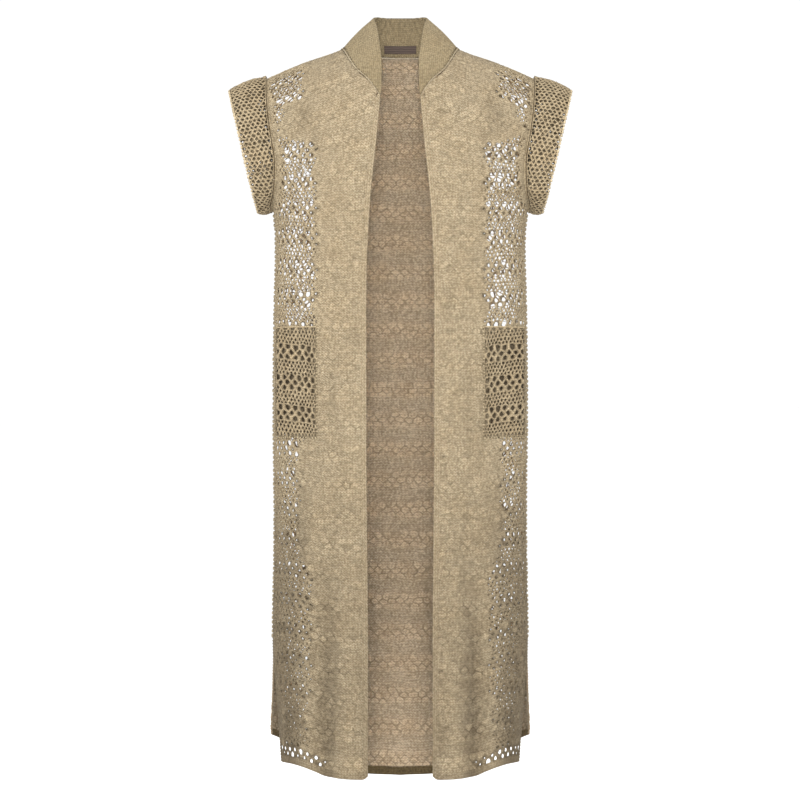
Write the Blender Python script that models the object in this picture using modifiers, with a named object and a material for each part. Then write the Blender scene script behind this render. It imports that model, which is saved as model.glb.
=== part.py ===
"""Open-knit sleeveless long cardigan, in the hollow form it has when worn.

Metres, +Z up. The front faces -Y and the wearer's left is +X. The origin lies
between the two neck points, at the height where the shoulders carry the cloth.
Sizes in the tables are millimetres. Outlines are those of the outer faces.
"""

from collections import namedtuple

import bpy
import numpy as np

MM = 0.001

# ---------------------------------------------------------------- driving sizes

PANEL_WALL = 2.4  # fronts, back and pockets
COLLAR_WALL = 3.0
CUFF_WALL = 4.6  # two layers, because the cuff is turned back
LABEL_WALL = 1.0
SEAM_GAP = 0.3

UNDERARM_Z = -238.0
SHOULDER_ROUND = 95.0  # drop over which the cloth turns from the shoulder into the chest
SECTION_POWER = 2.3  # of the superellipse that every level section follows
HEIGHT_PASSES = 8  # a section depends on its height, and the height on x
EDGE_PASSES = 60

# A level section of the form: half widths and depths of the fronts and of the back.
Section = namedtuple("Section", "z front_half back_half front_depth back_depth")
SECTIONS = (
    Section(60, 226, 226, 78, 66),
    Section(-44, 222, 222, 88, 76),
    Section(-100, 216, 216, 97, 88),
    Section(-147, 208, 208, 105, 97),
    Section(-190, 197, 197, 113, 104),
    Section(-238, 188, 188, 118, 107),
    Section(-292, 184, 184, 118, 105),
    Section(-375, 186, 186, 115, 100),
    Section(-518, 187.5, 187.5, 112, 100),
    Section(-700, 186, 186, 115, 108),
    Section(-873, 188.5, 188.5, 118, 113),
    Section(-960, 183, 192, 120, 115),
    Section(-1100, 174, 199, 123, 117),
)

# The shoulder line seen from the front. Inside the neck point it is where the
# line would run, and it sets how far the cloth there has turned down.
Ridge = namedtuple("Ridge", "x z")
RIDGE = (
    Ridge(0, 36),
    Ridge(30, 29),
    Ridge(60, 14),
    Ridge(86, 0),
    Ridge(145, -21),
    Ridge(198, -44),
    Ridge(226, -58),
)

# The armhole edge, as far down as the side seam.
Armhole = namedtuple("Armhole", "z x")
ARMHOLE = (
    Armhole(-47, 198),
    Armhole(-104, 192),
    Armhole(-147, 185),
    Armhole(-175, 181),
    Armhole(-205, 182),
    Armhole(UNDERARM_Z, 188),
)

# The slit at the foot of each side seam: how far an edge stands back from the form's half width.
Slit = namedtuple("Slit", "z back_off")
SLIT = (Slit(-873, 0), Slit(-930, 0.4), Slit(-1000, 1.2), Slit(-1100, 2.2))

# The neck seam and then the front edge, seen from the front.
FrontEdge = namedtuple("FrontEdge", "z x")
FRONT_EDGE = (
    FrontEdge(0, 86),
    FrontEdge(-44, 58.5),
    FrontEdge(-57, 43),
    FrontEdge(-73, 29.5),
    FrontEdge(-129, 33.5),
    FrontEdge(-231, 43.5),
    FrontEdge(-374, 49),
    FrontEdge(-547, 49),
    FrontEdge(-892, 46.5),
    FrontEdge(-1100, 46.5),
)

NECK_POINT_X = 86.0
BackNeck = namedtuple("BackNeck", "x z")
BACK_NECK = (BackNeck(0, -5), BackNeck(40, -5), BackNeck(70, -3), BackNeck(NECK_POINT_X, 0))

Hem = namedtuple("Hem", "x z")
FRONT_HEM = (
    Hem(46, -1059),
    Hem(51, -1063),
    Hem(60, -1064),
    Hem(90, -1063),
    Hem(110, -1061),
    Hem(124, -1055),
    Hem(140, -1050),
    Hem(160, -1048),
    Hem(180, -1051),
)
BACK_HEM = (
    Hem(0, -1090),
    Hem(60, -1084),
    Hem(120, -1060),
    Hem(160, -1037),
    Hem(183, -1022),
    Hem(192, -1014),
    Hem(200, -1000),
)
HEM_SHAPE_POWER = 3  # how late on the way down the rows take the hem's shape
HEM_LEVEL = -1064.0
BACK_HEM_LEVEL = -1090.0

# Soft vertical folds. A trough is pressed into the cloth, and a negative depth is a ridge.
Fold = namedtuple("Fold", "x_top x_low z_top z_low half_width depth")
FRONT_FOLDS = (
    Fold(140, 142, -62, -150, 15, 6),
    Fold(104, 106, -700, -1150, 15, 7),
    Fold(132, 136, -760, -1150, 16, -3),
    Fold(74, 78, -820, -1150, 15, -2.5),
    Fold(150, 140, -270, -400, 18, 3),
)
BACK_FOLDS = (
    Fold(58, 70, -560, -1150, 22, 7),
    Fold(-52, -64, -640, -1150, 20, 6),
    Fold(4, 0, -700, -1150, 26, -5),
    Fold(132, 138, -480, -1150, 18, 5),
    Fold(-136, -140, -420, -1150, 18, 6),
    Fold(118, 96, -120, -330, 20, 5),
    Fold(-118, -98, -120, -310, 20, 5),
)
FOLD_FADE = 5  # folds die out over the last fifth of the way to a side seam

# The free edge of the collar. Its share is that of the neck seam's length below
# it, from the point at the front edge to the middle of the back.
CollarEdge = namedtuple("CollarEdge", "share x y z")
COLLAR_EDGE = (
    CollarEdge(0.0, 27.5, -92.5, -73),
    CollarEdge(0.15, 27, -83, -48),
    CollarEdge(0.30, 28, -62, -18),
    CollarEdge(0.42, 32, -28, 14),
    CollarEdge(0.50, 36, 8, 39),
    CollarEdge(0.56, 40, 36, 52),
    CollarEdge(0.75, 25, 54, 54),
    CollarEdge(1.0, 0, 57, 54),
)
COLLAR_STAND_OFF = 1.4  # between the band and the panels' outer faces
COLLAR_BELLY = 2.0  # how far the middle of the band stands out from a straight line
COLLAR_POINT_ROW = 6  # the row of the fronts at which the collar's point ends

# The outer rim of a cuff is an oval that leans out at the top: x and z of its ends.
RIM_TOP = (250.5, -62.0)
RIM_LOW = (209.0, -238.0)
RIM_HALF_DEPTH = 63.0
RIM_BACK_SHIFT = 3.0
CUFF_LAP = 3.5  # how far the turned-back edge lies over the armhole seam
CUFF_LIFT = 1.4  # its clearance from the panel under it
CUFF_TURN = 3.0  # how far past the seam it begins to lean outward
CUFF_BELLY = 3.0

POCKET_TOP = -411.0
POCKET_LOW = -573.0

LABEL_COLUMNS = 4
LABEL_REACH = 3  # columns of the collar on each side of its middle that the label lies within
LABEL_HALF_WIDTH = 24.0
LABEL_FROM = 0.10  # shares of the collar's height at the back, from the seam up
LABEL_TO = 0.30

# Rows of faces, from the shoulder down, and columns, from the front edge or the middle out.
SHOULDER_ROWS = 7
ARMHOLE_ROWS = 5
ARMHOLE_CROWDING = 1.5  # they come closer together toward the underarm
CHEST_ROWS = 4
POCKET_ROWS = 4
SKIRT_ROWS = 11
FRONT_COLUMNS = (6, 5, 2)  # up to the pocket, under it, and past it
FRONT_MARKS = (0.0, 0.333, 0.804, 1.0)
POCKET_FIRST_COLUMN = 6
POCKET_LAST_COLUMN = 11
BACK_COLUMNS = (5, 8)  # under the collar, and past the neck point
COLLAR_ROWS = 3
CUFF_ROWS = 4

YARN = (0.50, 0.41, 0.27)
COARSE_YARN = (0.43, 0.34, 0.21)
RIB_YARN = (0.49, 0.41, 0.26)
LABEL_COLOUR = (0.12, 0.10, 0.09)
YARN_ROUGHNESS = 0.9
LABEL_ROUGHNESS = 0.6


# ---------------------------------------------------------------- reading the tables


def column(table, name):
    return np.array([getattr(row, name) for row in table], float)


def along(table, key, value, at):
    """The column `value` at places `at` of the column `key`, on a smooth curve through the rows."""
    keys, values = column(table, key), column(table, value)
    order = np.argsort(keys)
    keys, values = keys[order], values[order]
    steps = np.diff(keys)
    slopes = np.diff(values) / steps
    tangents = np.concatenate([slopes[:1], (slopes[1:] + slopes[:-1]) / 2, slopes[-1:]])
    turning = np.concatenate([[False], slopes[1:] * slopes[:-1] <= 0, [False]])
    tangents[turning] = 0.0
    at = np.clip(np.asarray(at, float), keys[0], keys[-1])
    i = np.clip(np.searchsorted(keys, at, side="right") - 1, 0, len(steps) - 1)
    t = (at - keys[i]) / steps[i]
    place = values[i] * (1 + 2 * t) * (1 - t) ** 2 + values[i + 1] * t * t * (3 - 2 * t)
    bend = tangents[i] * t * (1 - t) ** 2 - tangents[i + 1] * t * t * (1 - t)
    return place + bend * steps[i]


def ease(t):
    t = np.clip(t, 0.0, 1.0)
    return t * t * (3 - 2 * t)


# ---------------------------------------------------------------- the worn form


def ridge(x):
    """The inner face of the cloth along the shoulder seam."""
    return along(RIDGE, "x", "z", np.abs(x)) - PANEL_WALL


def half_width(z, face):
    return along(SECTIONS, "z", face + "_half", z) - PANEL_WALL


def end_angle(level, face):
    """Where a row ends, as an angle round its section: the armhole, then the side seam, then the slit."""
    form = half_width(level, face)
    edge = form - along(SLIT, "z", "back_off", level)
    if level > UNDERARM_Z:
        edge = min(along(ARMHOLE, "z", "x", level), form)
    return np.arcsin(edge / form)


def pressed_in(x, z, face):
    """How deep the soft folds are at a place on the cloth."""
    total = 0.0
    for fold in FRONT_FOLDS if face == "front" else BACK_FOLDS:
        down = np.clip((fold.z_top - z) / (fold.z_top - fold.z_low), 0, 1)
        middle = fold.x_top + (fold.x_low - fold.x_top) * down
        open_ended = fold.z_low < BACK_HEM_LEVEL
        swell = ease(2 * down) if open_ended else np.sin(np.pi * down) ** 2
        total = total + fold.depth * swell * np.exp(-(((x - middle) / fold.half_width) ** 2))
    return total


def on_form(angle, height, face):
    """Points on the inner face along a row, at angles round its sections from the middle to the side."""
    share = np.abs(np.sin(angle))
    z = np.full(np.shape(angle), float(height(0.0)))
    for _ in range(HEIGHT_PASSES):
        x = half_width(z, face) * np.sin(angle)
        z = height(x)
    round_the_side = np.maximum(1 - share**SECTION_POWER, 0) ** (1 / SECTION_POWER)
    turned = 1 - np.clip((ridge(x) - z) / SHOULDER_ROUND, 0, 1)
    far = along(SECTIONS, "z", face + "_depth", z) - PANEL_WALL
    smooth = far * np.sqrt(1 - turned**2) * round_the_side
    folds = pressed_in(x, z, face) * ease(FOLD_FADE * (1 - share))
    y = np.maximum(smooth - folds, 0) + SEAM_GAP / 2
    return np.stack([x, -y if face == "front" else y, z], axis=-1)


def marks(shares, counts):
    """Shares of a width at every column, with `counts` columns between each two of `shares`."""
    parts = [np.linspace(a, b, n + 1)[1:] for a, b, n in zip(shares, shares[1:], counts)]
    return np.concatenate([shares[:1], *parts])


def top_line(x, face):
    """The line that the first row follows: the shoulder seam, and the back's neck."""
    if face == "front":
        return ridge(x)
    neck = along(BACK_NECK, "x", "z", np.abs(x)) - PANEL_WALL
    return np.where(np.abs(x) < NECK_POINT_X, neck, ridge(x))


def levels():
    """Heights of the rows at the armhole and the side seam."""
    tip = float(ridge(ARMHOLE[0].x))
    angles = np.linspace(0, np.pi / 2, SHOULDER_ROWS + 1)
    shoulder = tip - SHOULDER_ROUND * (1 - np.cos(angles))
    stretches = (
        (shoulder[-1], UNDERARM_Z, ARMHOLE_ROWS, ARMHOLE_CROWDING),
        (UNDERARM_Z, POCKET_TOP, CHEST_ROWS, 1.0),
        (POCKET_TOP, POCKET_LOW, POCKET_ROWS, 1.0),
        (POCKET_LOW, HEM_LEVEL, SKIRT_ROWS, 1.0),
    )
    parts = [shoulder]
    for start, end, count, power in stretches:
        share = 1 - (1 - np.linspace(0, 1, count + 1)[1:]) ** power
        parts.append(start + (end - start) * share)
    return np.concatenate(parts)


def row_height(level, face):
    """The height along one row, as a function of x."""
    tip = float(ridge(ARMHOLE[0].x))
    if level > UNDERARM_Z:
        fade = (level - UNDERARM_Z) / (tip - UNDERARM_Z)
        edge = half_width(level, face) * np.sin(end_angle(level, face))
        return lambda x: level + (top_line(x, face) - top_line(edge, face)) * fade
    hem = FRONT_HEM if face == "front" else BACK_HEM
    share = (UNDERARM_Z - level) / (UNDERARM_Z - HEM_LEVEL)
    return lambda x: level + (along(hem, "x", "z", np.abs(x)) - HEM_LEVEL) * share**HEM_SHAPE_POWER


def front_edge_angle(height):
    """Where a row meets the neck seam or the front edge, which depends on the row's height there."""
    x = NECK_POINT_X
    for _ in range(EDGE_PASSES):
        x = (x + along(FRONT_EDGE, "z", "x", height(x))) / 2
    return float(np.arcsin(x / half_width(height(x), "front")))


def neck_share():
    """The neck point's share of the angle from the middle of the back to the shoulder's tip."""
    top = levels()[0]
    return float(np.arcsin(NECK_POINT_X / half_width(top, "back")) / end_angle(top, "back"))


def panel_grid(face):
    """Points on a panel's inner face. Rows run down, and columns from left to right as seen from outside."""
    rows = []
    for level in levels():
        height = row_height(level, face)
        end = end_angle(level, face)
        if face == "front":
            start = front_edge_angle(height)
            angles = start + (end - start) * marks(FRONT_MARKS, FRONT_COLUMNS)
        else:
            out = marks((0.0, neck_share(), 1.0), BACK_COLUMNS)
            angles = end * np.concatenate([out[::-1], -out[1:]])
        rows.append(on_form(angles, height, face))
    return np.array(rows)


# ---------------------------------------------------------------- surfaces as objects


OUTWARD = 1.0
INWARD = -1.0


def unit(vectors):
    return vectors / np.linalg.norm(vectors, axis=-1, keepdims=True)


def outward(grid):
    """Unit normals of a grid whose rows run down and whose columns run left to right from outside."""
    return unit(np.cross(np.gradient(grid, axis=0), np.gradient(grid, axis=1)))


def mirrored(grid):
    """The same surface on the wearer's right."""
    return grid[:, ::-1] * np.array([-1.0, 1.0, 1.0])


def material(name, colour, roughness):
    made = bpy.data.materials.new(name)
    made.use_nodes = True
    shader = made.node_tree.nodes["Principled BSDF"]
    shader.inputs["Base Color"].default_value = (*colour, 1.0)
    shader.inputs["Roughness"].default_value = roughness
    shader.inputs["Metallic"].default_value = 0.0
    return made


def cloth(name, grid, wall, finish, collection, closed=False, grows=OUTWARD):
    """A wall of cloth on a grid of points, which lies on its inner face if it grows outward."""
    rows, columns = grid.shape[:2]
    faces = []
    for r in range(rows - 1):
        for c in range(columns if closed else columns - 1):
            after = (c + 1) % columns
            low = (r + 1) * columns
            faces.append((r * columns + c, low + c, low + after, r * columns + after))
    mesh = bpy.data.meshes.new(name)
    mesh.from_pydata((grid.reshape(-1, 3) * MM).tolist(), [], faces)
    mesh.shade_smooth()
    mesh.materials.append(finish)
    made = bpy.data.objects.new(name, mesh)
    collection.objects.link(made)
    thicken = made.modifiers.new("wall", "SOLIDIFY")
    thicken.thickness = wall * MM
    thicken.offset = grows
    return made


# ---------------------------------------------------------------- collar, cuffs, pockets and label


def joined(first, second):
    """Two runs of points whose facing ends are one place: the two end points become their middle."""
    return np.concatenate([first[:-1], [(first[-1] + second[0]) / 2], second[1:]])


def collar_grid(front, back):
    """The band's outer face, from its free edge down to the neck seam, round the back from point to point."""
    front, back = (grid + outward(grid) * PANEL_WALL for grid in (front, back))
    left = front[COLLAR_POINT_ROW::-1, 0]
    right = mirrored(front)[: COLLAR_POINT_ROW + 1, -1]
    past_neck = BACK_COLUMNS[1]
    seam = joined(joined(left, back[0, past_neck:-past_neck]), right)
    run = np.concatenate([[0], np.cumsum(np.linalg.norm(np.diff(seam, axis=0), axis=1))])
    share = 1 - np.abs(2 * run / run[-1] - 1)
    free = [along(COLLAR_EDGE, "share", axis, share) for axis in "xyz"]
    free[0] = free[0] * np.sign(1 - 2 * run / run[-1])
    free = np.stack(free, axis=-1)
    low = seam + unit(free - seam) * COLLAR_STAND_OFF
    stand = outward(np.stack([free, low]))[0]
    rows = []
    for down in np.linspace(0, 1, COLLAR_ROWS + 1):
        belly = COLLAR_BELLY * np.sin(np.pi * down)
        rows.append(free + (low - free) * down + stand * belly)
    return np.array(rows)


def armhole(front, back):
    """The wearer's left armhole, top, back, foot and front: its points and the panels' normals there."""
    rows = SHOULDER_ROWS + ARMHOLE_ROWS + 1
    behind, before = (
        np.concatenate([grid, outward(grid)], axis=2)[:rows, edge]
        for grid, edge in ((back, 0), (front, -1))
    )
    ring = joined(behind, before[::-1])
    ring[0] = (ring[0] + ring[-1]) / 2
    return ring[:-1, :3], unit(ring[:-1, 3:])


def cuff_grid(front, back):
    """A cuff's inner face, from the edge that laps over the armhole seam out to the rim."""
    ring, normals = armhole(front, back)
    tangents = np.roll(ring, -1, axis=0) - np.roll(ring, 1, axis=0)
    off = unit(np.cross(tangents, normals))
    seat = ring + normals * (PANEL_WALL + CUFF_LIFT)
    middle = (ring.max(axis=0) + ring.min(axis=0)) / 2
    half = (ring.max(axis=0) - ring.min(axis=0)) / 2
    turn = np.arctan2((ring[:, 1] - middle[1]) / half[1], (ring[:, 2] - middle[2]) / half[2])
    top, low = np.array(RIM_TOP), np.array(RIM_LOW)
    leaning = (top + low) / 2 + np.cos(turn)[:, None] * (top - low) / 2
    rim_y = RIM_HALF_DEPTH * np.sin(turn) + RIM_BACK_SHIFT
    rim = np.stack([leaning[:, 0], rim_y, leaning[:, 1]], axis=-1)
    start = seat + off * CUFF_TURN
    swell = np.stack([np.zeros(len(turn)), np.sin(turn), np.cos(turn)], axis=-1)
    rows = [seat - off * CUFF_LAP]
    for out in np.linspace(0, 1, CUFF_ROWS):
        rows.append(start + (rim - start) * out + swell * CUFF_BELLY * np.sin(np.pi * out))
    return np.array(rows)


def pocket_grid(front):
    """A patch over part of the front's own grid, moved out by its wall and the gap."""
    first_row = SHOULDER_ROWS + ARMHOLE_ROWS + CHEST_ROWS
    moved = front + outward(front) * (PANEL_WALL + SEAM_GAP)
    return moved[first_row : first_row + POCKET_ROWS + 1, POCKET_FIRST_COLUMN : POCKET_LAST_COLUMN + 1]


def label_grid(collar):
    """A strip against the inside of the collar, at the middle of the back."""
    moved = collar - outward(collar) * (COLLAR_WALL + SEAM_GAP)
    middle = collar.shape[1] // 2
    near = moved[:, middle + LABEL_REACH : middle - LABEL_REACH - 1 : -1]
    x = np.linspace(LABEL_HALF_WIDTH, -LABEL_HALF_WIDTH, LABEL_COLUMNS + 1)
    rows = []
    for up in (LABEL_TO, LABEL_FROM):
        line = near[-1] + (near[0] - near[-1]) * up
        y, z = (np.interp(x, line[:, 0], line[:, axis]) for axis in (1, 2))
        rows.append(np.stack([x, y, z], axis=-1))
    return np.array(rows)


def main():
    for obj in list(bpy.data.objects):
        bpy.data.objects.remove(obj)
    garment = bpy.data.collections.new("cardigan")
    bpy.context.scene.collection.children.link(garment)

    knit = material("open_knit", YARN, YARN_ROUGHNESS)
    coarse = material("coarse_knit", COARSE_YARN, YARN_ROUGHNESS)
    rib = material("rib_knit", RIB_YARN, YARN_ROUGHNESS)
    tape = material("label_tape", LABEL_COLOUR, LABEL_ROUGHNESS)

    front, back = panel_grid("front"), panel_grid("back")
    cuff, pocket = cuff_grid(front, back), pocket_grid(front)
    collar = collar_grid(front, back)
    cloth("back", back, PANEL_WALL, knit, garment)
    cloth("collar", collar, COLLAR_WALL, rib, garment, grows=INWARD)
    cloth("label", label_grid(collar), LABEL_WALL, tape, garment, grows=INWARD)
    for side, turned in (("left", lambda grid: grid), ("right", mirrored)):
        cloth("front_" + side, turned(front), PANEL_WALL, knit, garment)
        cloth("pocket_" + side, turned(pocket), PANEL_WALL, coarse, garment)
        cloth("cuff_" + side, turned(cuff), CUFF_WALL, coarse, garment, closed=True)


main()
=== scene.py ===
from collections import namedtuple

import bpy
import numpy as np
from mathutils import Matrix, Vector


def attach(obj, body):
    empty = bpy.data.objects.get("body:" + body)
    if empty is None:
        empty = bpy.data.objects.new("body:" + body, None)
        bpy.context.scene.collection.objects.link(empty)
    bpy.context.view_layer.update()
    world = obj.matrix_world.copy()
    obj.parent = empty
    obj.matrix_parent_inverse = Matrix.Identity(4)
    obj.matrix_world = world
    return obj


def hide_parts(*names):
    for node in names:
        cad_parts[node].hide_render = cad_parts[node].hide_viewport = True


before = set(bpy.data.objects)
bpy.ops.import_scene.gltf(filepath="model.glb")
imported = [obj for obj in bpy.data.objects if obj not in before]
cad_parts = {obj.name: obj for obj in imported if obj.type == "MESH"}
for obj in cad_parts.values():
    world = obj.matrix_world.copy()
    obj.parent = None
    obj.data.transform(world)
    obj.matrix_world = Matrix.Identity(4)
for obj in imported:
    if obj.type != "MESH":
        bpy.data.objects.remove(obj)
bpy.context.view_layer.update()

# Open-knit sleeveless long cardigan in its hollow worn form. Each knit panel is a net of yarn with real
# holes, laid on the middle surface of its solid. The form's tables are the part's own, in millimetres,
# with finer creases added. s is the distance along a row, t the distance down.

MM = 0.001


def table(columns, *rows):
    """Rows with named columns."""
    kind = namedtuple("Entry", columns)
    return tuple(kind(*row) for row in rows)


# -------- the worn form

PANEL_WALL = 2.4
COLLAR_WALL = 3.0
CUFF_WALL = 4.6
SEAM_GAP = 0.3
UNDERARM_Z = -238.0
SHOULDER_ROUND = 95.0
SECTION_POWER = 2.3
HEIGHT_PASSES = 8
EDGE_PASSES = 60

SECTIONS = table(
    "z front_half back_half front_depth back_depth",
    (60, 226, 226, 78, 66),
    (-44, 222, 222, 88, 76),
    (-100, 216, 216, 97, 88),
    (-147, 208, 208, 105, 97),
    (-190, 197, 197, 113, 104),
    (-238, 188, 188, 118, 107),
    (-292, 184, 184, 118, 105),
    (-375, 186, 186, 115, 100),
    (-518, 187.5, 187.5, 112, 100),
    (-700, 186, 186, 115, 108),
    (-873, 188.5, 188.5, 118, 113),
    (-960, 183, 192, 120, 115),
    (-1100, 174, 199, 123, 117),
)

RIDGE = table(
    "x z",
    (0, 36), (30, 29), (60, 14), (86, 0), (145, -21), (198, -44), (226, -58),
)

ARMHOLE = table(
    "z x",
    (-47, 198), (-104, 192), (-147, 185), (-175, 181), (-205, 182), (UNDERARM_Z, 188),
)

SLIT = table(
    "z back_off",
    (-873, 0), (-930, 0.4), (-1000, 1.2), (-1100, 2.2),
)

FRONT_EDGE = table(
    "z x",
    (0, 86), (-44, 58.5), (-57, 43), (-73, 29.5), (-129, 33.5), (-231, 43.5), (-374, 49), (-547, 49),
    (-892, 46.5), (-1100, 46.5),
)

NECK_POINT_X = 86.0
BACK_NECK = table(
    "x z",
    (0, -5), (40, -5), (70, -3), (NECK_POINT_X, 0),
)

FRONT_HEM = table(
    "x z",
    (46, -1059), (51, -1063), (60, -1064), (90, -1063), (110, -1061), (124, -1055), (140, -1050),
    (160, -1048), (180, -1051),
)
BACK_HEM = table(
    "x z",
    (0, -1090), (60, -1084), (120, -1060), (160, -1037), (183, -1022), (192, -1014), (200, -1000),
)
HEM_SHAPE_POWER = 3
HEM_LEVEL = -1064.0
FOLD_FADE = 5

# Soft vertical folds, then the finer creases that only the cloth shows.
FRONT_FOLDS = table(
    "x_top x_low z_top z_low half_width depth",
    (140, 142, -62, -150, 15, 6),
    (104, 106, -700, -1150, 15, 7),
    (132, 136, -760, -1150, 16, -3),
    (74, 78, -820, -1150, 15, -2.5),
    (150, 140, -270, -400, 18, 3),
    (118, 128, -90, -210, 9, 2.2),
    (92, 96, -600, -880, 8, 1.6),
    (152, 146, -620, -860, 8, 1.8),
    (64, 70, -300, -520, 10, 1.4),
    (99, 98, -380, -640, 8, 2.6),
    (122, 116, -420, -640, 9, 1.6),
    (160, 158, -930, -1150, 7, 2.0),
    (88, 90, -930, -1150, 6, -1.8),
)
BACK_FOLDS = table(
    "x_top x_low z_top z_low half_width depth",
    (58, 70, -560, -1150, 22, 7),
    (-52, -64, -640, -1150, 20, 6),
    (4, 0, -700, -1150, 26, -5),
    (132, 138, -480, -1150, 18, 5),
    (-136, -140, -420, -1150, 18, 6),
    (118, 96, -120, -330, 20, 5),
    (-118, -98, -120, -310, 20, 5),
    (96, 104, -300, -620, 11, 2.2),
    (-90, -100, -330, -600, 12, 2.0),
    (26, 32, -420, -760, 11, 1.8),
    (-22, -30, -480, -830, 10, 2.0),
    (150, 146, -760, -1150, 8, 2.2),
    (-158, -156, -800, -1150, 8, 1.8),
    (92, 96, -860, -1150, 9, -2.0),
    (-96, -92, -900, -1150, 9, -2.2),
    (60, 84, -60, -170, 12, 2.0),
    (-60, -84, -60, -170, 12, 2.0),
)
OPEN_BELOW = -1090.0

COLLAR_EDGE = table(
    "share x y z",
    (0.0, 27.5, -92.5, -73), (0.15, 27, -83, -48), (0.30, 28, -62, -18), (0.42, 32, -28, 14),
    (0.50, 36, 8, 39), (0.56, 40, 36, 52), (0.75, 25, 54, 54), (1.0, 0, 57, 54),
)
COLLAR_STAND_OFF = 1.4
COLLAR_BELLY = 2.0
COLLAR_POINT_ROW = 6

RIM_TOP = (250.5, -62.0)
RIM_LOW = (209.0, -238.0)
RIM_HALF_DEPTH = 63.0
RIM_BACK_SHIFT = 3.0
CUFF_LAP = 3.5
CUFF_LIFT = 1.4
CUFF_TURN = 3.0
CUFF_BELLY = 3.0

POCKET_TOP = -411.0
POCKET_LOW = -573.0

SHOULDER_ROWS = 7
ARMHOLE_ROWS = 5
ARMHOLE_CROWDING = 1.5
CHEST_ROWS = 4
POCKET_ROWS = 4
SKIRT_ROWS = 11
POCKET_MARKS = (0.333, 0.804)
BACK_COLUMNS = (5, 8)
FRONT_COLUMNS = (6, 5, 2)
FRONT_MARKS = (0.0, 0.333, 0.804, 1.0)
COLLAR_ROWS = 3
CUFF_ROWS = 4


def column(rows, name):
    return np.array([getattr(row, name) for row in rows], float)


def along(rows, key, value, at):
    """The column `value` at places `at` of the column `key`, on a smooth curve through the rows."""
    keys, values = column(rows, key), column(rows, value)
    order = np.argsort(keys)
    return smooth(keys[order], values[order], at)


def smooth(keys, values, at):
    steps = np.diff(keys)
    slopes = np.diff(values) / steps
    tangents = np.concatenate([slopes[:1], (slopes[1:] + slopes[:-1]) / 2, slopes[-1:]])
    turning = np.concatenate([[False], slopes[1:] * slopes[:-1] <= 0, [False]])
    tangents[turning] = 0.0
    at = np.clip(np.asarray(at, float), keys[0], keys[-1])
    i = np.clip(np.searchsorted(keys, at, side="right") - 1, 0, len(steps) - 1)
    t = (at - keys[i]) / steps[i]
    place = values[i] * (1 + 2 * t) * (1 - t) ** 2 + values[i + 1] * t * t * (3 - 2 * t)
    bend = tangents[i] * t * (1 - t) ** 2 - tangents[i + 1] * t * t * (1 - t)
    return place + bend * steps[i]


def ease(t):
    t = np.clip(t, 0.0, 1.0)
    return t * t * (3 - 2 * t)


def smooth_step(at, low, high):
    return ease((at - low) / (high - low))


def ridge(x):
    return along(RIDGE, "x", "z", np.abs(x)) - PANEL_WALL


def half_width(z, face):
    return along(SECTIONS, "z", face + "_half", z) - PANEL_WALL


def end_angle(level, face):
    form = half_width(level, face)
    edge = form - along(SLIT, "z", "back_off", level)
    if level > UNDERARM_Z:
        edge = min(along(ARMHOLE, "z", "x", level), form)
    return np.arcsin(edge / form)


def pressed_in(x, z, face):
    total = 0.0
    for fold in FRONT_FOLDS if face == "front" else BACK_FOLDS:
        down = np.clip((fold.z_top - z) / (fold.z_top - fold.z_low), 0, 1)
        middle = fold.x_top + (fold.x_low - fold.x_top) * down
        swell = ease(2 * down) if fold.z_low < OPEN_BELOW else np.sin(np.pi * down) ** 2
        total = total + fold.depth * swell * np.exp(-(((x - middle) / fold.half_width) ** 2))
    return total


def on_form(angle, height, face):
    share = np.abs(np.sin(angle))
    z = np.full(np.shape(angle), float(height(0.0)))
    for _ in range(HEIGHT_PASSES):
        x = half_width(z, face) * np.sin(angle)
        z = height(x)
    round_the_side = np.maximum(1 - share**SECTION_POWER, 0) ** (1 / SECTION_POWER)
    turned = 1 - np.clip((ridge(x) - z) / SHOULDER_ROUND, 0, 1)
    far = along(SECTIONS, "z", face + "_depth", z) - PANEL_WALL
    smooth_form = far * np.sqrt(1 - turned**2) * round_the_side
    folds = pressed_in(x, z, face) * ease(FOLD_FADE * (1 - share))
    y = np.maximum(smooth_form - folds, 0) + SEAM_GAP / 2
    return np.stack([x, -y if face == "front" else y, z], axis=-1)


def marks(shares, counts):
    parts = [np.linspace(a, b, n + 1)[1:] for a, b, n in zip(shares, shares[1:], counts)]
    return np.concatenate([shares[:1], *parts])


def top_line(x, face):
    if face == "front":
        return ridge(x)
    neck = along(BACK_NECK, "x", "z", np.abs(x)) - PANEL_WALL
    return np.where(np.abs(x) < NECK_POINT_X, neck, ridge(x))


def levels():
    tip = float(ridge(ARMHOLE[0].x))
    angles = np.linspace(0, np.pi / 2, SHOULDER_ROWS + 1)
    shoulder = tip - SHOULDER_ROUND * (1 - np.cos(angles))
    stretches = (
        (shoulder[-1], UNDERARM_Z, ARMHOLE_ROWS, ARMHOLE_CROWDING),
        (UNDERARM_Z, POCKET_TOP, CHEST_ROWS, 1.0),
        (POCKET_TOP, POCKET_LOW, POCKET_ROWS, 1.0),
        (POCKET_LOW, HEM_LEVEL, SKIRT_ROWS, 1.0),
    )
    parts = [shoulder]
    for start, end, count, power in stretches:
        share = 1 - (1 - np.linspace(0, 1, count + 1)[1:]) ** power
        parts.append(start + (end - start) * share)
    return np.concatenate(parts)


def row_height(level, face):
    tip = float(ridge(ARMHOLE[0].x))
    if level > UNDERARM_Z:
        fade = (level - UNDERARM_Z) / (tip - UNDERARM_Z)
        edge = half_width(level, face) * np.sin(end_angle(level, face))
        return lambda x: level + (top_line(x, face) - top_line(edge, face)) * fade
    hem = FRONT_HEM if face == "front" else BACK_HEM
    share = (UNDERARM_Z - level) / (UNDERARM_Z - HEM_LEVEL)
    return lambda x: level + (along(hem, "x", "z", np.abs(x)) - HEM_LEVEL) * share**HEM_SHAPE_POWER


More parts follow.
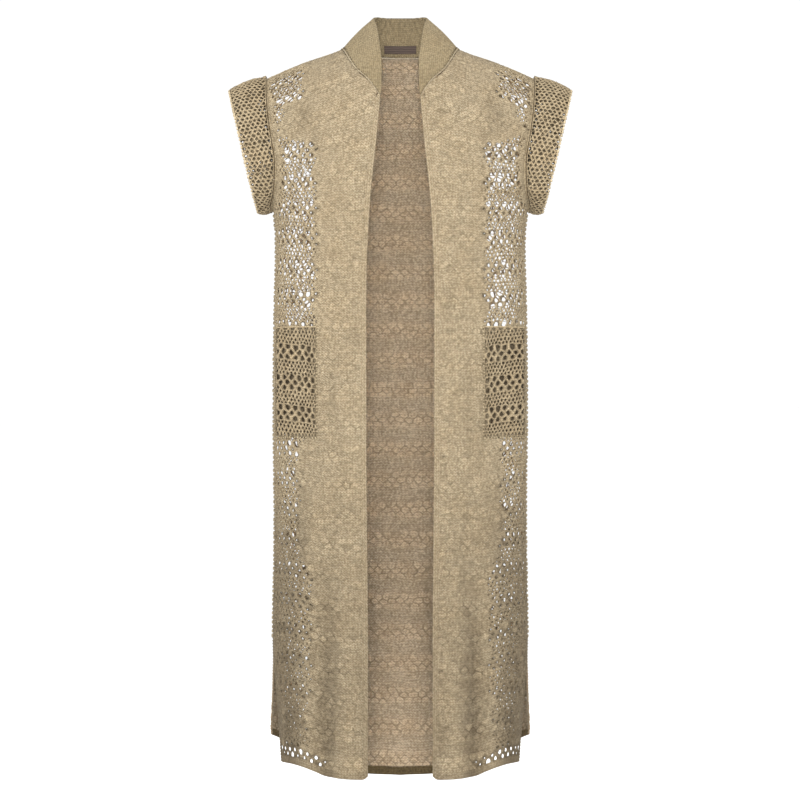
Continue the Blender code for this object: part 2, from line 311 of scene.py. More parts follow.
def front_edge_angle(height):
    x = NECK_POINT_X
    for _ in range(EDGE_PASSES):
        x = (x + along(FRONT_EDGE, "z", "x", height(x))) / 2
    return float(np.arcsin(x / half_width(height(x), "front")))


def neck_share():
    top = levels()[0]
    return float(np.arcsin(NECK_POINT_X / half_width(top, "back")) / end_angle(top, "back"))


def unit(vectors):
    return vectors / np.maximum(np.linalg.norm(vectors, axis=-1, keepdims=True), 1e-9)


def outward(grid):
    return unit(np.cross(np.gradient(grid, axis=0), np.gradient(grid, axis=1)))


def panel(face, row_levels, front_shares, back_shares):
    """Points on a panel's inner face, at rows given by level and columns by share of the row's angle."""
    rows = []
    for level in row_levels:
        height = row_height(level, face)
        end = end_angle(level, face)
        if face == "front":
            start = front_edge_angle(height)
            angles = start + (end - start) * front_shares
        else:
            angles = end * back_shares
        rows.append(on_form(angles, height, face))
    return np.array(rows)


def coarse_back_shares():
    out = marks((0.0, neck_share(), 1.0), BACK_COLUMNS)
    return np.concatenate([out[::-1], -out[1:]])


# -------- sheets of cloth

FINE_ROWS = 9  # rows between each two of the solid's
FINE_COLUMNS = 90
EVEN_COLUMNS = 150
AREA_ROWS = 400


class Sheet:
    """A surface in millimetres. s runs along its rows from a reference line, and t down a line.

    That line is the reference line, or the one that `down` gives."""

    def __init__(self, grid, reference, down=None):
        steps = np.linalg.norm(np.diff(grid, axis=1), axis=2)
        run = np.concatenate([np.zeros((len(grid), 1)), np.cumsum(steps, axis=1)], axis=1)
        self.length = run[:, -1]
        shares = np.linspace(0, 1, EVEN_COLUMNS)
        self.points = np.array([places_along(shares * r[-1], r, row) for r, row in zip(run, grid)])
        self.normals = outward(self.points)
        self.before = np.array([reference(row, r) for row, r in zip(grid, run)])
        line = np.array([(down or reference)(row, r) for row, r in zip(grid, run)])
        at = np.clip(line / self.length * (EVEN_COLUMNS - 1), 0, EVEN_COLUMNS - 1)
        low = np.minimum(at.astype(int), EVEN_COLUMNS - 2)
        rows = np.arange(len(grid))
        part = (at - low)[:, None]
        self.line = self.points[rows, low] * (1 - part) + self.points[rows, low + 1] * part
        self.t = run_along(self.line)

    def start(self, t):
        return -np.interp(t, self.t, self.before)

    def end(self, t):
        return np.interp(t, self.t, self.length - self.before)

    def t_at(self, z):
        """How far down the reference line a height is."""
        return float(np.interp(-z, -self.line[:, 2], self.t))

    def frame(self, s, t):
        """Points and outward normals at (s, t)."""
        s, t = np.broadcast_arrays(np.asarray(s, float), np.asarray(t, float))
        row = np.interp(t, self.t, np.arange(len(self.t)))
        share = (s - self.start(t)) / (self.end(t) - self.start(t))
        over = share - np.clip(share, 0, 1)
        col = np.clip(share, 0, 1) * (EVEN_COLUMNS - 1)
        i = np.minimum(row.astype(int), len(self.t) - 2)
        j = np.minimum(col.astype(int), EVEN_COLUMNS - 2)
        a, b = (row - i)[..., None], (col - j)[..., None]
        found = []
        for field in (self.points, self.normals):
            top = field[i, j] * (1 - b) + field[i, j + 1] * b
            low = field[i + 1, j] * (1 - b) + field[i + 1, j + 1] * b
            found.append(top * (1 - a) + low * a)
        points, normals = found[0], unit(found[1])
        side = unit(self.points[i, j + 1] - self.points[i, j])
        length = (self.end(t) - self.start(t))[..., None]
        return points + side * over[..., None] * length, normals

    def place(self, s, t, lift):
        points, normals = self.frame(s, t)
        return points + normals * np.asarray(lift, float)[..., None]

    def area(self, top=None, bottom=None):
        """Square metres of cloth between two places down the sheet."""
        top = self.t[0] if top is None else top
        at = np.linspace(top, self.t[-1] if bottom is None else bottom, AREA_ROWS)
        return float(np.trapz(self.end(at) - self.start(at), at)) * MM * MM


def run_along(points):
    """Distance along a path at each of its points."""
    return np.concatenate([[0], np.cumsum(np.linalg.norm(np.diff(points, axis=0), axis=1))])


def places_along(at, run, path):
    """A path's points, or its normals, at the distances `at`."""
    return np.stack([np.interp(at, run, path[:, axis]) for axis in range(3)], axis=-1)


def fine_levels():
    coarse = levels()
    index = np.linspace(0, len(coarse) - 1, (len(coarse) - 1) * FINE_ROWS + 1)
    return np.interp(index, np.arange(len(coarse)), coarse)


FRONT_REFERENCE_X = 110.0
BACK_REFERENCE_X = 130.0


def crossing(x, ahead=1):
    """Where a row comes to x. The back's rows run toward -x, so `ahead` is -1 there."""
    return lambda row, run: float(np.interp(ahead * x, ahead * row[:, 0], run))


def panel_sheet(face):
    """The middle surface of a panel's solid, finely."""
    shares = np.linspace(0, 1, FINE_COLUMNS), np.linspace(1, -1, 2 * FINE_COLUMNS)
    grid = panel(face, fine_levels(), *shares)
    grid = grid + outward(grid) * PANEL_WALL / 2
    if face == "front":
        return Sheet(grid, crossing(FRONT_REFERENCE_X))
    return Sheet(grid, crossing(0.0, -1), crossing(BACK_REFERENCE_X, -1))


# -------- meshes

STITCH_TOP = [1.1, 0.9]  # a place in the knitting on top of a stitch


class Mesh:
    """Points in millimetres, and faces. Each point has a tone and a place in the knitting."""

    def __init__(self):
        self.points, self.faces, self.shade, self.weave = [], [], [], []
        self.count = 0

    def add(self, points, faces, shade, weave=None):
        points = np.asarray(points, float).reshape(-1, 3)
        self.points.append(points)
        self.shade.append(np.broadcast_to(np.asarray(shade, float), (len(points),)))
        self.weave.append(np.reshape(STITCH_TOP * len(points) if weave is None else weave, (-1, 2)))
        self.faces.extend([tuple(i + self.count for i in face) for face in faces])
        self.count += len(points)

    def add_closed(self, points, faces, shade, weave=None):
        """Adds a closed body, turned so that its faces point out."""
        points = np.asarray(points, float).reshape(-1, 3)
        fans = [(f[0], f[k], f[k + 1]) for f in faces for k in range(1, len(f) - 1)]
        a, b, c = (points[list(column)] for column in zip(*fans))
        if np.sum(a * np.cross(b, c)) < 0:
            faces = [tuple(reversed(face)) for face in faces]
        self.add(points, faces, shade, weave)


def added(name, data):
    """A new object in the scene."""
    made = bpy.data.objects.new(name, data)
    bpy.context.scene.collection.objects.link(made)
    return made


def build(name, mesh, finish, node=None, on_right=False):
    """Makes the piece, which stands for `node`. The right side's is the left's turned over."""
    points = np.concatenate(mesh.points) * MM
    faces = mesh.faces
    if on_right:
        points = points * np.array([-1.0, 1.0, 1.0])
        faces = [tuple(reversed(face)) for face in faces]
    data = bpy.data.meshes.new(name)
    data.from_pydata(points.tolist(), [], faces)
    data.shade_smooth()
    tone = data.attributes.new("shade", "FLOAT", "POINT")
    tone.data.foreach_set("value", np.concatenate(mesh.shade).astype(np.float32))
    weave = np.concatenate(mesh.weave)
    weave = np.column_stack([weave, np.zeros(len(weave))])
    place = data.attributes.new("weave", "FLOAT_VECTOR", "POINT")
    place.data.foreach_set("vector", weave.ravel().astype(np.float32))
    data.materials.append(finish)
    made = added(name, data)
    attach(made, "root")
    if node:
        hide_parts(node)
    return made


# -------- the net

Row = namedtuple("Row", "height pitch hole_width hole_height rounded")
EYELET_BAND = (
    Row(8.2, 13.5, 6.4, 8.6, True),
    Row(7.4, 13.5, 5.6, 7.6, True),
    Row(6.8, 13.5, 5.0, 6.8, True),
    Row(5.5, 6.75, 3.3, 4.4, False),
    Row(5.5, 6.75, 3.1, 4.1, False),
    Row(5.5, 6.75, 3.1, 4.1, False),
    Row(5.5, 6.75, 3.3, 4.4, False),
)
FIRST_PLAIN = 3  # rows of the band from here on have small holes
CUFF_ROW = Row(5.3, 7.0, 3.6, 3.1, False)
CREST = 1.25  # half the yarn's height on the walls between cells
EDGE_CREST = 0.8
WEB = 0.5  # half the height of the thin yarn that fills a cell which has no hole
WEB_SHARE = 0.74  # how much of a big filled cell is inside its outline
ZIGZAG = 0.55  # how far a wall's ends reach into the rows above and below, as a share of the row
WALL_ROOM = 0.36  # nearest that a wall comes to the cloth's edge, as a share of the pitch
MERGE = 0.9  # walls that come closer than this meet in one point
HOLE_LEAST = 0.2
HOLE_MOST = 0.82
JITTER = 0.075
TONE_SPREAD = 0.08
CELL_SPREAD = 0.07
CREST_SPREAD = 0.16
DOWN_JITTER = 0.8  # of a point down the cloth, as a share of the jitter along the rows
HOLE_OFF = 0.05  # how far a hole is off its cell's middle, as a share of the cell
NARROW = 0.62  # a cell has no hole where it is narrower than this share of the pitch
LOW = 2.2  # or lower than this
ROUNDING = 1.12  # how far a round hole's sides bow out
LEAST_ROW = 0.4  # the least of a row's height that is left for the top row
STAGGER = 0.5

# Tones from 0, pale, to 1, deep. In rows of small holes, crest and inner are multiplied by `small`.
Tones = namedtuple("Tones", "crest rim inner web small")


def knit_rows(top, bottom, last):
    """Rows (top, bottom, kind, stagger) from the top down, of which the lowest is row `last` of the band."""
    rows, at, k = [], bottom, last
    while at - top > LEAST_ROW * EYELET_BAND[k].height:
        kind = EYELET_BAND[k]
        rows.append([at - kind.height, at, kind])
        at -= kind.height
        k = (k - 1) % len(EYELET_BAND)
    rows[-1][0] = top
    rows = rows[::-1]
    return [(a, b, kind, STAGGER * (i % 2)) for i, (a, b, kind) in enumerate(rows)]


def net(
    mesh, sheet, rows, margins, openness, seed, tones, shading=None, drift=None, spread=0.15, jitter=JITTER
):
    """A knitted net with real holes. The two margins give what is left plain at each edge at t.

    openness(x, z) is a share of the full hole, and shading(x, z, inside) is added to the tones."""
    random = np.random.default_rng(seed)
    tops = np.array([row[0] for row in rows] + [rows[-1][1]])
    starts = np.array([sheet.start(t) + margins[0](t) for t in tops])
    ends = np.array([sheet.end(t) - margins[1](t) for t in tops])
    walls = []
    for i, (_, _, kind, stagger) in enumerate(rows):
        low = max(starts[i], starts[i + 1]) + WALL_ROOM * kind.pitch
        high = min(ends[i], ends[i + 1]) - WALL_ROOM * kind.pitch
        first = int(np.ceil(low / kind.pitch - stagger))
        last = int(np.floor(high / kind.pitch - stagger))
        walls.append(kind.pitch * (np.arange(first, last + 1) + stagger))

    # The points where walls meet, from left to right between each two rows.
    s, t, edge, bold = [], [], [], []
    firsts, lasts, uppers, lowers = [], [], [], []
    for i, top in enumerate(tops):
        above = walls[i - 1] if i else np.zeros(0)
        below = walls[i] if i < len(rows) else np.zeros(0)
        inside = 0 < i < len(rows)
        reach_up = ZIGZAG * rows[i - 1][2].height / 2 if inside else 0.0
        reach_low = ZIGZAG * rows[i][2].height / 2 if inside else 0.0
        tagged = sorted([(x, 0, n) for n, x in enumerate(above)] + [(x, 1, n) for n, x in enumerate(below)])
        ends_here = np.zeros(len(above), int), np.zeros(len(below), int)
        firsts.append(len(s))
        s.append(starts[i])
        t.append(top)
        edge.append(True)
        before = -np.inf
        for x, kind, n in tagged:
            if x - before < MERGE:
                s[-1], t[-1] = (s[-1] + x) / 2, top
            else:
                s.append(x)
                t.append(top + (reach_low if kind else -reach_up))
                edge.append(not inside)
            ends_here[kind][n] = len(s) - 1
            before = x
        lasts.append(len(s))
        bold += [all(row[2].rounded for row in rows[max(i - 1, 0) : i + 1])] * (len(s) + 1 - len(bold))
        s.append(ends[i])
        t.append(top)
        edge.append(True)
        uppers.append(ends_here[0])
        lowers.append(ends_here[1])
    s, t, edge = np.array(s), np.array(t), np.array(edge)
    size = np.interp(t, tops[:-1], [row[2].pitch for row in rows]) * ~edge
    s = s + random.normal(0, jitter, len(s)) * size
    t = t + random.normal(0, jitter * DOWN_JITTER, len(s)) * size
    crests = np.where(edge, EDGE_CREST, CREST * (1 + random.normal(0, CREST_SPREAD, len(s))))
    count = len(s)

    cells = []
    for i, row in enumerate(rows):
        ups = [firsts[i], *lowers[i], lasts[i]]
        downs = [firsts[i + 1], *uppers[i + 1], lasts[i + 1]]
        for j in range(len(ups) - 1):
            over = list(range(ups[j], ups[j + 1] + 1))
            under = list(range(downs[j], downs[j + 1] + 1))
            cells.append((row[2], under + over[::-1]))
    middle_s = np.array([(s[c].max() + s[c].min()) / 2 for _, c in cells])
    middle_t = np.array([(t[c].max() + t[c].min()) / 2 for _, c in cells])
    seen, _ = sheet.frame(middle_s, middle_t)
    shares = openness(seen[:, 0], seen[:, 2]) * (1 + random.normal(0, spread, len(cells)))
    off_s, off_t = random.normal(0, HOLE_OFF, (2, len(cells)))
    cell_tones = random.normal(0, CELL_SPREAD, len(cells))

    ring_s, ring_t, ring_lift, ring_shade, faces, used = [], [], [], [], [], set()

    def add_ring(at_s, at_t, lifts, tone):
        ring_s.extend(at_s)
        ring_t.extend(at_t)
        ring_lift.extend(lifts)
        ring_shade.extend([tone] * len(lifts))

    def add_faces(loop, ring_step=0):
        """A face outside, and the same inside, whose ring points are `ring_step` further on."""
        inside = [loop[1], loop[0], *reversed(loop[2:])]
        faces.append(tuple(loop))
        faces.append(tuple(i + (count if i < count else ring_step) for i in inside))

    drawn = zip(cells, middle_s, middle_t, shares, off_s, off_t, cell_tones)
    for (kind, corners), ms, mt, share, ds, dt, cell_tone in drawn:
        ps, pt = s[corners], t[corners]
        wide, high = np.ptp(ps), np.ptp(pt)
        n = len(corners)
        where = 2 * count + len(ring_s)
        pairs = [(k, (k + 1) % n) for k in range(n)]
        used.update((corners[a], corners[b]) for a, b in pairs)
        narrow = wide < NARROW * kind.pitch or high < LOW
        if share < HOLE_LEAST and kind.rounded and not narrow:
            inset_s, inset_t = ms + (ps - ms) * WEB_SHARE, mt + (pt - mt) * WEB_SHARE
            add_ring([*inset_s] * 2, [*inset_t] * 2, [WEB] * n + [-WEB] * n, tones.web + cell_tone)
            for a, b in pairs:
                add_faces((corners[a], corners[b], where + b, where + a), n)
            add_faces(range(where, where + n), n)
            continue
        if share < HOLE_LEAST or narrow:
            add_ring([ms, ms], [mt, mt], [WEB, -WEB], tones.web + cell_tone)
            for a, b in pairs:
                add_faces((corners[a], corners[b], where), 1)
            continue
        ms, mt = ms + ds * kind.pitch, mt + dt * kind.height
        rs = ms + (ps - ms) * min(kind.hole_width * share / wide, HOLE_MOST)
        rt = mt + (pt - mt) * min(kind.hole_height * share / high, HOLE_MOST)
        if kind.rounded:
            half_s = ms + ((rs + np.roll(rs, -1)) / 2 - ms) * ROUNDING
            half_t = mt + ((rt + np.roll(rt, -1)) / 2 - mt) * ROUNDING
            rs = np.stack([rs, half_s], axis=1).ravel()
            rt = np.stack([rt, half_t], axis=1).ravel()
            for a, b in pairs:
                between = where + 2 * a + 1
                add_faces((corners[a], corners[b], between))
                add_faces((corners[a], between, where + 2 * a))
                add_faces((corners[b], where + 2 * b, between))
        else:
            for a, b in pairs:
                add_faces((corners[a], corners[b], where + b, where + a))
        add_ring(rs, rt, [0.0] * len(rs), tones.rim)
    faces += [(b, a, count + a, count + b) for a, b in used if (b, a) not in used]

    all_s = np.concatenate([s, s, ring_s])
    all_t = np.concatenate([t, t, ring_t])
    weave = np.stack([all_s, all_t], axis=-1)
    if drift is not None:
        held = np.concatenate([edge, edge, np.zeros(len(ring_s), bool)])
        all_s, all_t = drift(all_s, all_t, held)
    points = sheet.place(all_s, all_t, np.concatenate([crests, -crests, ring_lift]))
    strength = np.where(bold, 1.0, tones.small)
    tone = np.concatenate([tones.crest * strength, tones.inner * strength, ring_shade])
    if shading is not None:
        lifts = np.concatenate([np.ones(count), -np.ones(count), np.sign(ring_lift)])
        tone = tone + shading(points[:, 0], points[:, 2], (1 - lifts) / 2)
    tone = tone + random.normal(0, TONE_SPREAD, len(tone))
    mesh.add(points, faces, np.clip(tone, 0, 1), weave)


ROW_WAVES = table(
    "along_s along_t size",
    (41, 130, 1.1), (17, 61, 0.6), (97, 47, 1.0),
)
COLUMN_WAVES = table(
    "along_s along_t size",
    (150, 37, 0.9), (60, 19, 0.45),
)
TURN = 6.28  # near enough to a full turn, for a wave


def wavy(s, t, seed):
    """Slow wandering of the rows and columns, in which no hand-run row is quite straight."""
    turns = np.random.default_rng(seed).uniform(0, TURN, (len(ROW_WAVES) + len(COLUMN_WAVES), 2))
    moved = []
    for waves, phases in ((COLUMN_WAVES, turns[:2]), (ROW_WAVES, turns[2:])):
        moved.append(0.0)
        for wave, (a, b) in zip(waves, phases):
            across = np.sin(s / wave.along_s * TURN + a)
            moved[-1] = moved[-1] + wave.size * across * np.sin(t / wave.along_t * TURN + b)
    return moved


# -------- edgings and stitches

EDGING = table(
    "across height",
    (0.0, 0.35), (0.1, 0.8), (0.3, 1.0), (0.5, 0.9), (0.7, 1.0), (0.9, 0.85), (1.0, 0.5),
)

# Knitted strips: half their height, how often a ridge crosses them and how deep it is, and the tones of
# their outside and inside.
Strip = namedtuple("Strip", "height tick depth tones")
FRONT_EDGE_STRIP = Strip(1.15, 4.4, 0.4, (0.14, 0.25))
FRONT_HEM_STRIP = Strip(1.15, 4.4, 0.4, (0.2, 0.3))
FRONT_SLIT_STRIP = Strip(1.3, 4.4, 0.4, (0.1, 0.25))
BACK_SLIT_STRIP = Strip(1.3, 4.4, 0.3, (0.1, 0.25))
WELT_STRIP = Strip(1.4, 2.4, 0.35, (0.0, 0.0))
POCKET_STRIP = Strip(1.1, 3.0, 0.25, (0.1, 0.25))
TICK_STATIONS = 4
SWELL = (0.06, 5.3)  # a slow swelling of a strip, and its length
SCALLOP = (0.4, 14.0, 31.0)  # the least share of a scalloped edge's bulge, and its two lengths


def edging(mesh, sheet, s, t, across, width, strip, scallop=0.0, drop=None):
    """A closed knitted strip whose outer edge follows (s, t), with a ridge across it at every tick."""
    path, _ = sheet.frame(s, t)
    run = run_along(path)
    stations = np.arange(0, run[-1], strip.tick / TICK_STATIONS)
    s, t = np.interp(stations, run, s), np.interp(stations, run, t)
    width = np.interp(stations, run, np.broadcast_to(width, run.shape))
    ridges = strip.depth * np.sin(2 * np.pi * stations / strip.tick)
    swell = 1 + ridges + SWELL[0] * np.sin(stations / SWELL[1])
    least, short, long = SCALLOP
    bulge = np.interp(stations, run, np.broadcast_to(scallop, run.shape))
    bulge = bulge * (least + (1 - least) * np.abs(np.sin(stations / short * np.pi + np.sin(stations / long))))
    q = column(EDGING, "across")
    h = column(EDGING, "height") * strip.height
    q, h = np.concatenate([q, q[::-1]]), np.concatenate([h, -h[::-1]])
    tones = np.repeat(strip.tones, len(EDGING))
    reach = q * width[:, None] - (1 - q) * bulge[:, None]
    points = sheet.place(s[:, None] + across[0] * reach, t[:, None] + across[1] * reach, h * swell[:, None])
    if drop is not None:
        tones = np.clip(tones[None, :] + drop(points[..., 0], points[..., 2]), 0, 1)
    tones = np.broadcast_to(tones, reach.shape)
    weave = np.stack(np.broadcast_arrays(stations[:, None], reach), axis=-1)
    closed_tube(mesh, points, tones, weave)


def closed_tube(mesh, sections, tones, weave):
    """A closed body through loops of points."""
    mesh.add_closed(sections, tube_faces(*sections.shape[:2]), np.reshape(tones, -1), weave)


def tube_faces(stations, around):
    faces = []
    for top in range(0, (stations - 1) * around, around):
        low = top + around
        for k in range(around):
            after = (k + 1) % around
            faces.append((top + k, low + k, low + after, top + after))
    last = range((stations - 1) * around, stations * around)
    return faces + [tuple(range(around)), tuple(reversed(last))]


STITCH_SIDES = 6
STITCH_ENDS = ((-0.5, 0.35), (-0.34, 1.0), (0.34, 1.0), (0.5, 0.35))  # along the stitch, and its radius there

# Stitches across a seam: how far apart, their length and radius, their lean in radians, their tone, and how
# much of the radius is sunk in the cloth.
Stitch = namedtuple("Stitch", "pitch length radius lean tone sink")
RIM_STITCH = Stitch(5.6, 5.2, 1.5, 1.2, 0.1, 0.75)
LINK_STITCH = Stitch(3.0, 5.0, 1.7, 1.25, 0.35, 1.0)  # fills the gap between the cuff and the armhole
POCKET_STITCH = Stitch(5.0, 3.0, 0.8, 0.4, 0.1, 0.3)
NECK_STITCH = Stitch(2.8, 4.2, 0.8, 1.25, 0.3, 0.3)
NECK_SPECK = Stitch(6.5, 2.6, 0.45, 0.3, 0.9, 0.3)
NECK_CHAIN = Stitch(2.6, 4.6, 0.8, 1.2, 0.15, 0.3)
SIDE_STITCH = Stitch(6.6, 6.4, 1.8, 0.6, 0.2, 0.3)
SHOULDER_STITCH = Stitch(2.6, 4.6, 1.3, 0.9, 0.1, 0.3)
PLACE_SPREAD = 0.06
LEAN_SPREAD = 0.12
SIZE_SPREAD = 0.1


def stitches(mesh, points, normals, kind, seed):
    """Short stitches along a path."""
    random = np.random.default_rng(seed)
    run = run_along(points)
    at = np.arange(kind.pitch / 2, run[-1], kind.pitch)
    at = at + random.normal(0, PLACE_SPREAD, len(at)) * kind.pitch
    middle, up = places_along(at, run, points), unit(places_along(at, run, normals))
    ahead = unit(places_along(at, run, np.gradient(points, axis=0)))
    side = unit(np.cross(up, ahead))
    leans = (kind.lean + random.normal(0, LEAN_SPREAD, len(at)))[:, None]
    axis = side * np.cos(leans) + ahead * np.sin(leans)
    other = unit(np.cross(axis, up))
    middle = middle + up * kind.radius * (1 - kind.sink)
    sizes = 1 + random.normal(0, SIZE_SPREAD, len(at))
    faces = tube_faces(len(STITCH_ENDS), STITCH_SIDES)
    turn = np.linspace(0, 2 * np.pi, STITCH_SIDES, endpoint=False)[:, None]
    for m, x, n, o, size in zip(middle, axis, up, other, sizes):
        round_it = kind.radius * size * (np.cos(turn) * n + np.sin(turn) * o)
        length = kind.length * size
        rings = [m + x * length * place + round_it * share for place, share in STITCH_ENDS]
        mesh.add_closed(np.concatenate(rings), faces, kind.tone)


# -------- materials

# The yarns' colours, in raised places, between them and in shade, the size of their small plain stitches, and
# how much light passes through them.
YARNS = table(
    "name light dark deep stitch_width stitch_height glow",
    ("sand_yarn", (0.472, 0.400, 0.277), (0.303, 0.250, 0.166), (0.035, 0.023, 0.012), 4.5, 3.6, 0.0),
    # The back's yarn is given lighter: painted light for its inside, which lies in shade.
    ("sand_yarn_back", (0.56, 0.474, 0.352), (0.37, 0.308, 0.223), (0.06, 0.042, 0.024), 4.5, 3.6, 0.7),
    ("coarse_sand_yarn", (0.60, 0.500, 0.335), (0.415, 0.340, 0.220), (0.030, 0.018, 0.008), 3.4, 3.0, 0.0),
    ("rib_sand_yarn", (0.405, 0.336, 0.208), (0.27, 0.220, 0.134), (0.08, 0.060, 0.032), 3.2, 2.8, 0.0),
    # The back's welt is given a dark yarn: painted shade for the welt seen in shade inside the hem.
    ("brown_welt_yarn", (0.125, 0.092, 0.040), (0.070, 0.048, 0.020), (0.03, 0.02, 0.012), 2.2, 2.4, 0.0),
)
YARN_SURFACE = {
    "Metallic": 0.0,
    "Specular IOR Level": 0.12,
    "Sheen Weight": 0.14,
    "Sheen Tint": (0.85, 0.72, 0.52, 1.0),
    "Sheen Roughness": 0.55,
    "Subsurface Radius": (1.0, 0.85, 0.7),
    "Subsurface Scale": 0.003,
}
FLECK_SCALE = 300.0
PATCH_SCALE = 26.0
PLY_SCALE = 170.0
FUZZ_SCALE = 2600.0
FLECKS = (0.40, 0.62)
# Tints over the flecks: the pattern's range, the tint's strength at its two ends, and the tint. The tints
# between the plies and between the stitches are painted shade in their grooves; the patches' tint is the
# yarn's own.
TINTS_AND_PAINTED_SHADE = (
    (0.35, 0.7, 0.0, 0.4, (0.86, 0.79, 0.70)),  # patches
    (0.0, 0.5, 0.3, 0.0, (0.62, 0.54, 0.44)),  # between the plies
    (0.1, 0.75, 1.0, 0.0, (0.50, 0.43, 0.34)),  # between the stitches
)
ROUGHNESS = (0.3, 0.7, 0.78, 0.96)
STITCH_RELIEF = 2.4
YARN_BUMP = 0.0006


class Tree:
    """Short ways to add nodes to a material."""

    def __init__(self, name):
        self.material = bpy.data.materials.new(name)
        self.material.use_nodes = True
        self.nodes, self.links = self.material.node_tree.nodes, self.material.node_tree.links
        self.shader = self.nodes["Principled BSDF"]

    def add(self, kind, inputs=(), output=None, **settings):
        made = self.nodes.new(kind)
        for key, value in settings.items():
            setattr(made, key, value)
        enabled = [socket for socket in made.inputs if socket.enabled]
        for where, value in dict(inputs).items():
            socket = enabled[where] if isinstance(where, int) else next(i for i in enabled if i.name == where)
            if isinstance(value, bpy.types.NodeSocket):
                self.links.new(value, socket)
            else:
                socket.default_value = value
        return next(i for i in made.outputs if i.enabled and output in (None, i.name))

    def math(self, operation, *values):
        return self.add("ShaderNodeMath", dict(enumerate(values)), operation=operation)

    def mix(self, blend, share, a, b):
        inputs = {"Factor": share, "A": a, "B": b}
        return self.add("ShaderNodeMix", inputs, data_type="RGBA", blend_type=blend)

    def ranged(self, value, low, high, to_low=0.0, to_high=1.0):
        inputs = {"Value": value, "From Min": low, "From Max": high, "To Min": to_low, "To Max": to_high}
        return self.add("ShaderNodeMapRange", inputs)

    def noise(self, place, scale, detail):
        inputs = {"Vector": place, "Scale": scale, "Detail": detail, "Roughness": 0.55}
        return self.add("ShaderNodeTexNoise", inputs)

    def set_all(self, values):
        for name, value in values.items():
            self.shader.inputs[name].default_value = value

    def bump(self, height, strength, distance):
        inputs = {"Height": height, "Strength": strength, "Distance": distance}
        self.links.new(self.add("ShaderNodeBump", inputs), self.shader.inputs["Normal"])


def colour(values):
    return (*values, 1.0)


def knit_stitches(tree, yarn):
    """Heights of plain knit stitches, which stand in columns of small V shapes."""
    place = tree.add("ShaderNodeAttribute", output="Vector", attribute_name="weave")
    u, v = (tree.add("ShaderNodeSeparateXYZ", {"Vector": place}, output=axis) for axis in "XY")
    u = tree.math("DIVIDE", u, yarn.stitch_width)
    v = tree.math("DIVIDE", v, yarn.stitch_height)
    leg = tree.math("PINGPONG", u, 0.5)
    slanted = tree.math("ADD", v, leg)
    loop = tree.math("PINGPONG", slanted, 0.5)
    rise = tree.math("MULTIPLY", tree.math("PINGPONG", leg, 0.25), 4.0)
    return tree.math("MULTIPLY", tree.math("ADD", tree.math("MULTIPLY", loop, 2.0), rise), 0.5)


def yarn_material(yarn):
    tree = Tree(yarn.name)
    place = tree.add("ShaderNodeTexCoord", output="Object")
    fleck = tree.noise(place, FLECK_SCALE, 2.0)
    patch = tree.noise(place, PATCH_SCALE, 3.0)
    fuzz = tree.noise(place, FUZZ_SCALE, 1.0)
    inputs = {"Vector": place, "Scale": PLY_SCALE, "Distortion": 5.0, "Detail": 1.5, "Detail Scale": 2.0}
    ply = tree.add("ShaderNodeTexWave", inputs, output="Fac", wave_type="BANDS", bands_direction="DIAGONAL")
    stitch = knit_stitches(tree, yarn)

    shown = tree.mix("MIX", tree.ranged(fleck, *FLECKS), colour(yarn.light), colour(yarn.dark))
    for pattern, (*spread, tint) in zip((patch, ply, stitch), TINTS_AND_PAINTED_SHADE):
        shown = tree.mix("MULTIPLY", tree.ranged(pattern, *spread), shown, colour(tint))
    tone = tree.add("ShaderNodeAttribute", output="Fac", attribute_name="shade")
    tree.links.new(tree.mix("MIX", tone, shown, colour(yarn.deep)), tree.shader.inputs["Base Color"])
    height = tree.math("ADD", tree.math("MULTIPLY", stitch, STITCH_RELIEF), tree.math("ADD", ply, fuzz))
    tree.bump(height, 1.0, YARN_BUMP)
    tree.links.new(tree.ranged(fuzz, *ROUGHNESS), tree.shader.inputs["Roughness"])
    tree.set_all(YARN_SURFACE)
    tree.set_all({"Subsurface Weight": yarn.glow})
    return tree.material


FRONT, BACK, COARSE, RIB, WELT = (yarn_material(yarn) for yarn in YARNS)

# -------- fronts

BORDER = 8.5
HEM_BAND = 10.0
SLIT_BORDER = 5.0
SEAM_MARGIN = 0.6
FRONT_TOP_T = 1.0
FRONT_SPREAD = 0.28
POINT_WIDTH = 1.5  # of the border, under the collar's point
POINT_FADE = 10.0
EDGE_FADE = 6.0  # half the length over which an edging comes in
WAVES_FADE = 25.0  # how far from the top and the hem the rows wander less
BORDER_POINTS = 600
SLIT_POINTS = 200
HEM_POINTS = 200
WELT_POINTS = 500
HEM_INSET = 0.4  # where the hem's strip ends, as a share of the border's width
LAP = 1.5  # how far the net runs in under an edging
SLIT_TOP_Z = -873.0
FRONT_TONES = Tones(crest=0.36, rim=0.06, inner=0.1, web=0.09, small=0.62)
POCKET_X = (119.5, 179.0)
# Painted shade: the front is painted dark behind the pocket, where the pocket's shade falls and shows through
# its open mesh.
POCKET_PAINTED_SHADE = 1.0  # the tone of what lies behind the pocket's open mesh
POCKET_SHADE_INSET = 6.0
# Painted shade of the gap at the armhole seam, under the cuff's edge.
ARMHOLE_PAINTED_SHADE = 0.15
PANEL_RISE = 7.0  # how far the rows rise toward the side seam
RISE_ACROSS = (112.0, 180.0)
RISE_DOWN = (230.0, 330.0)
RISE_FADE = 60.0

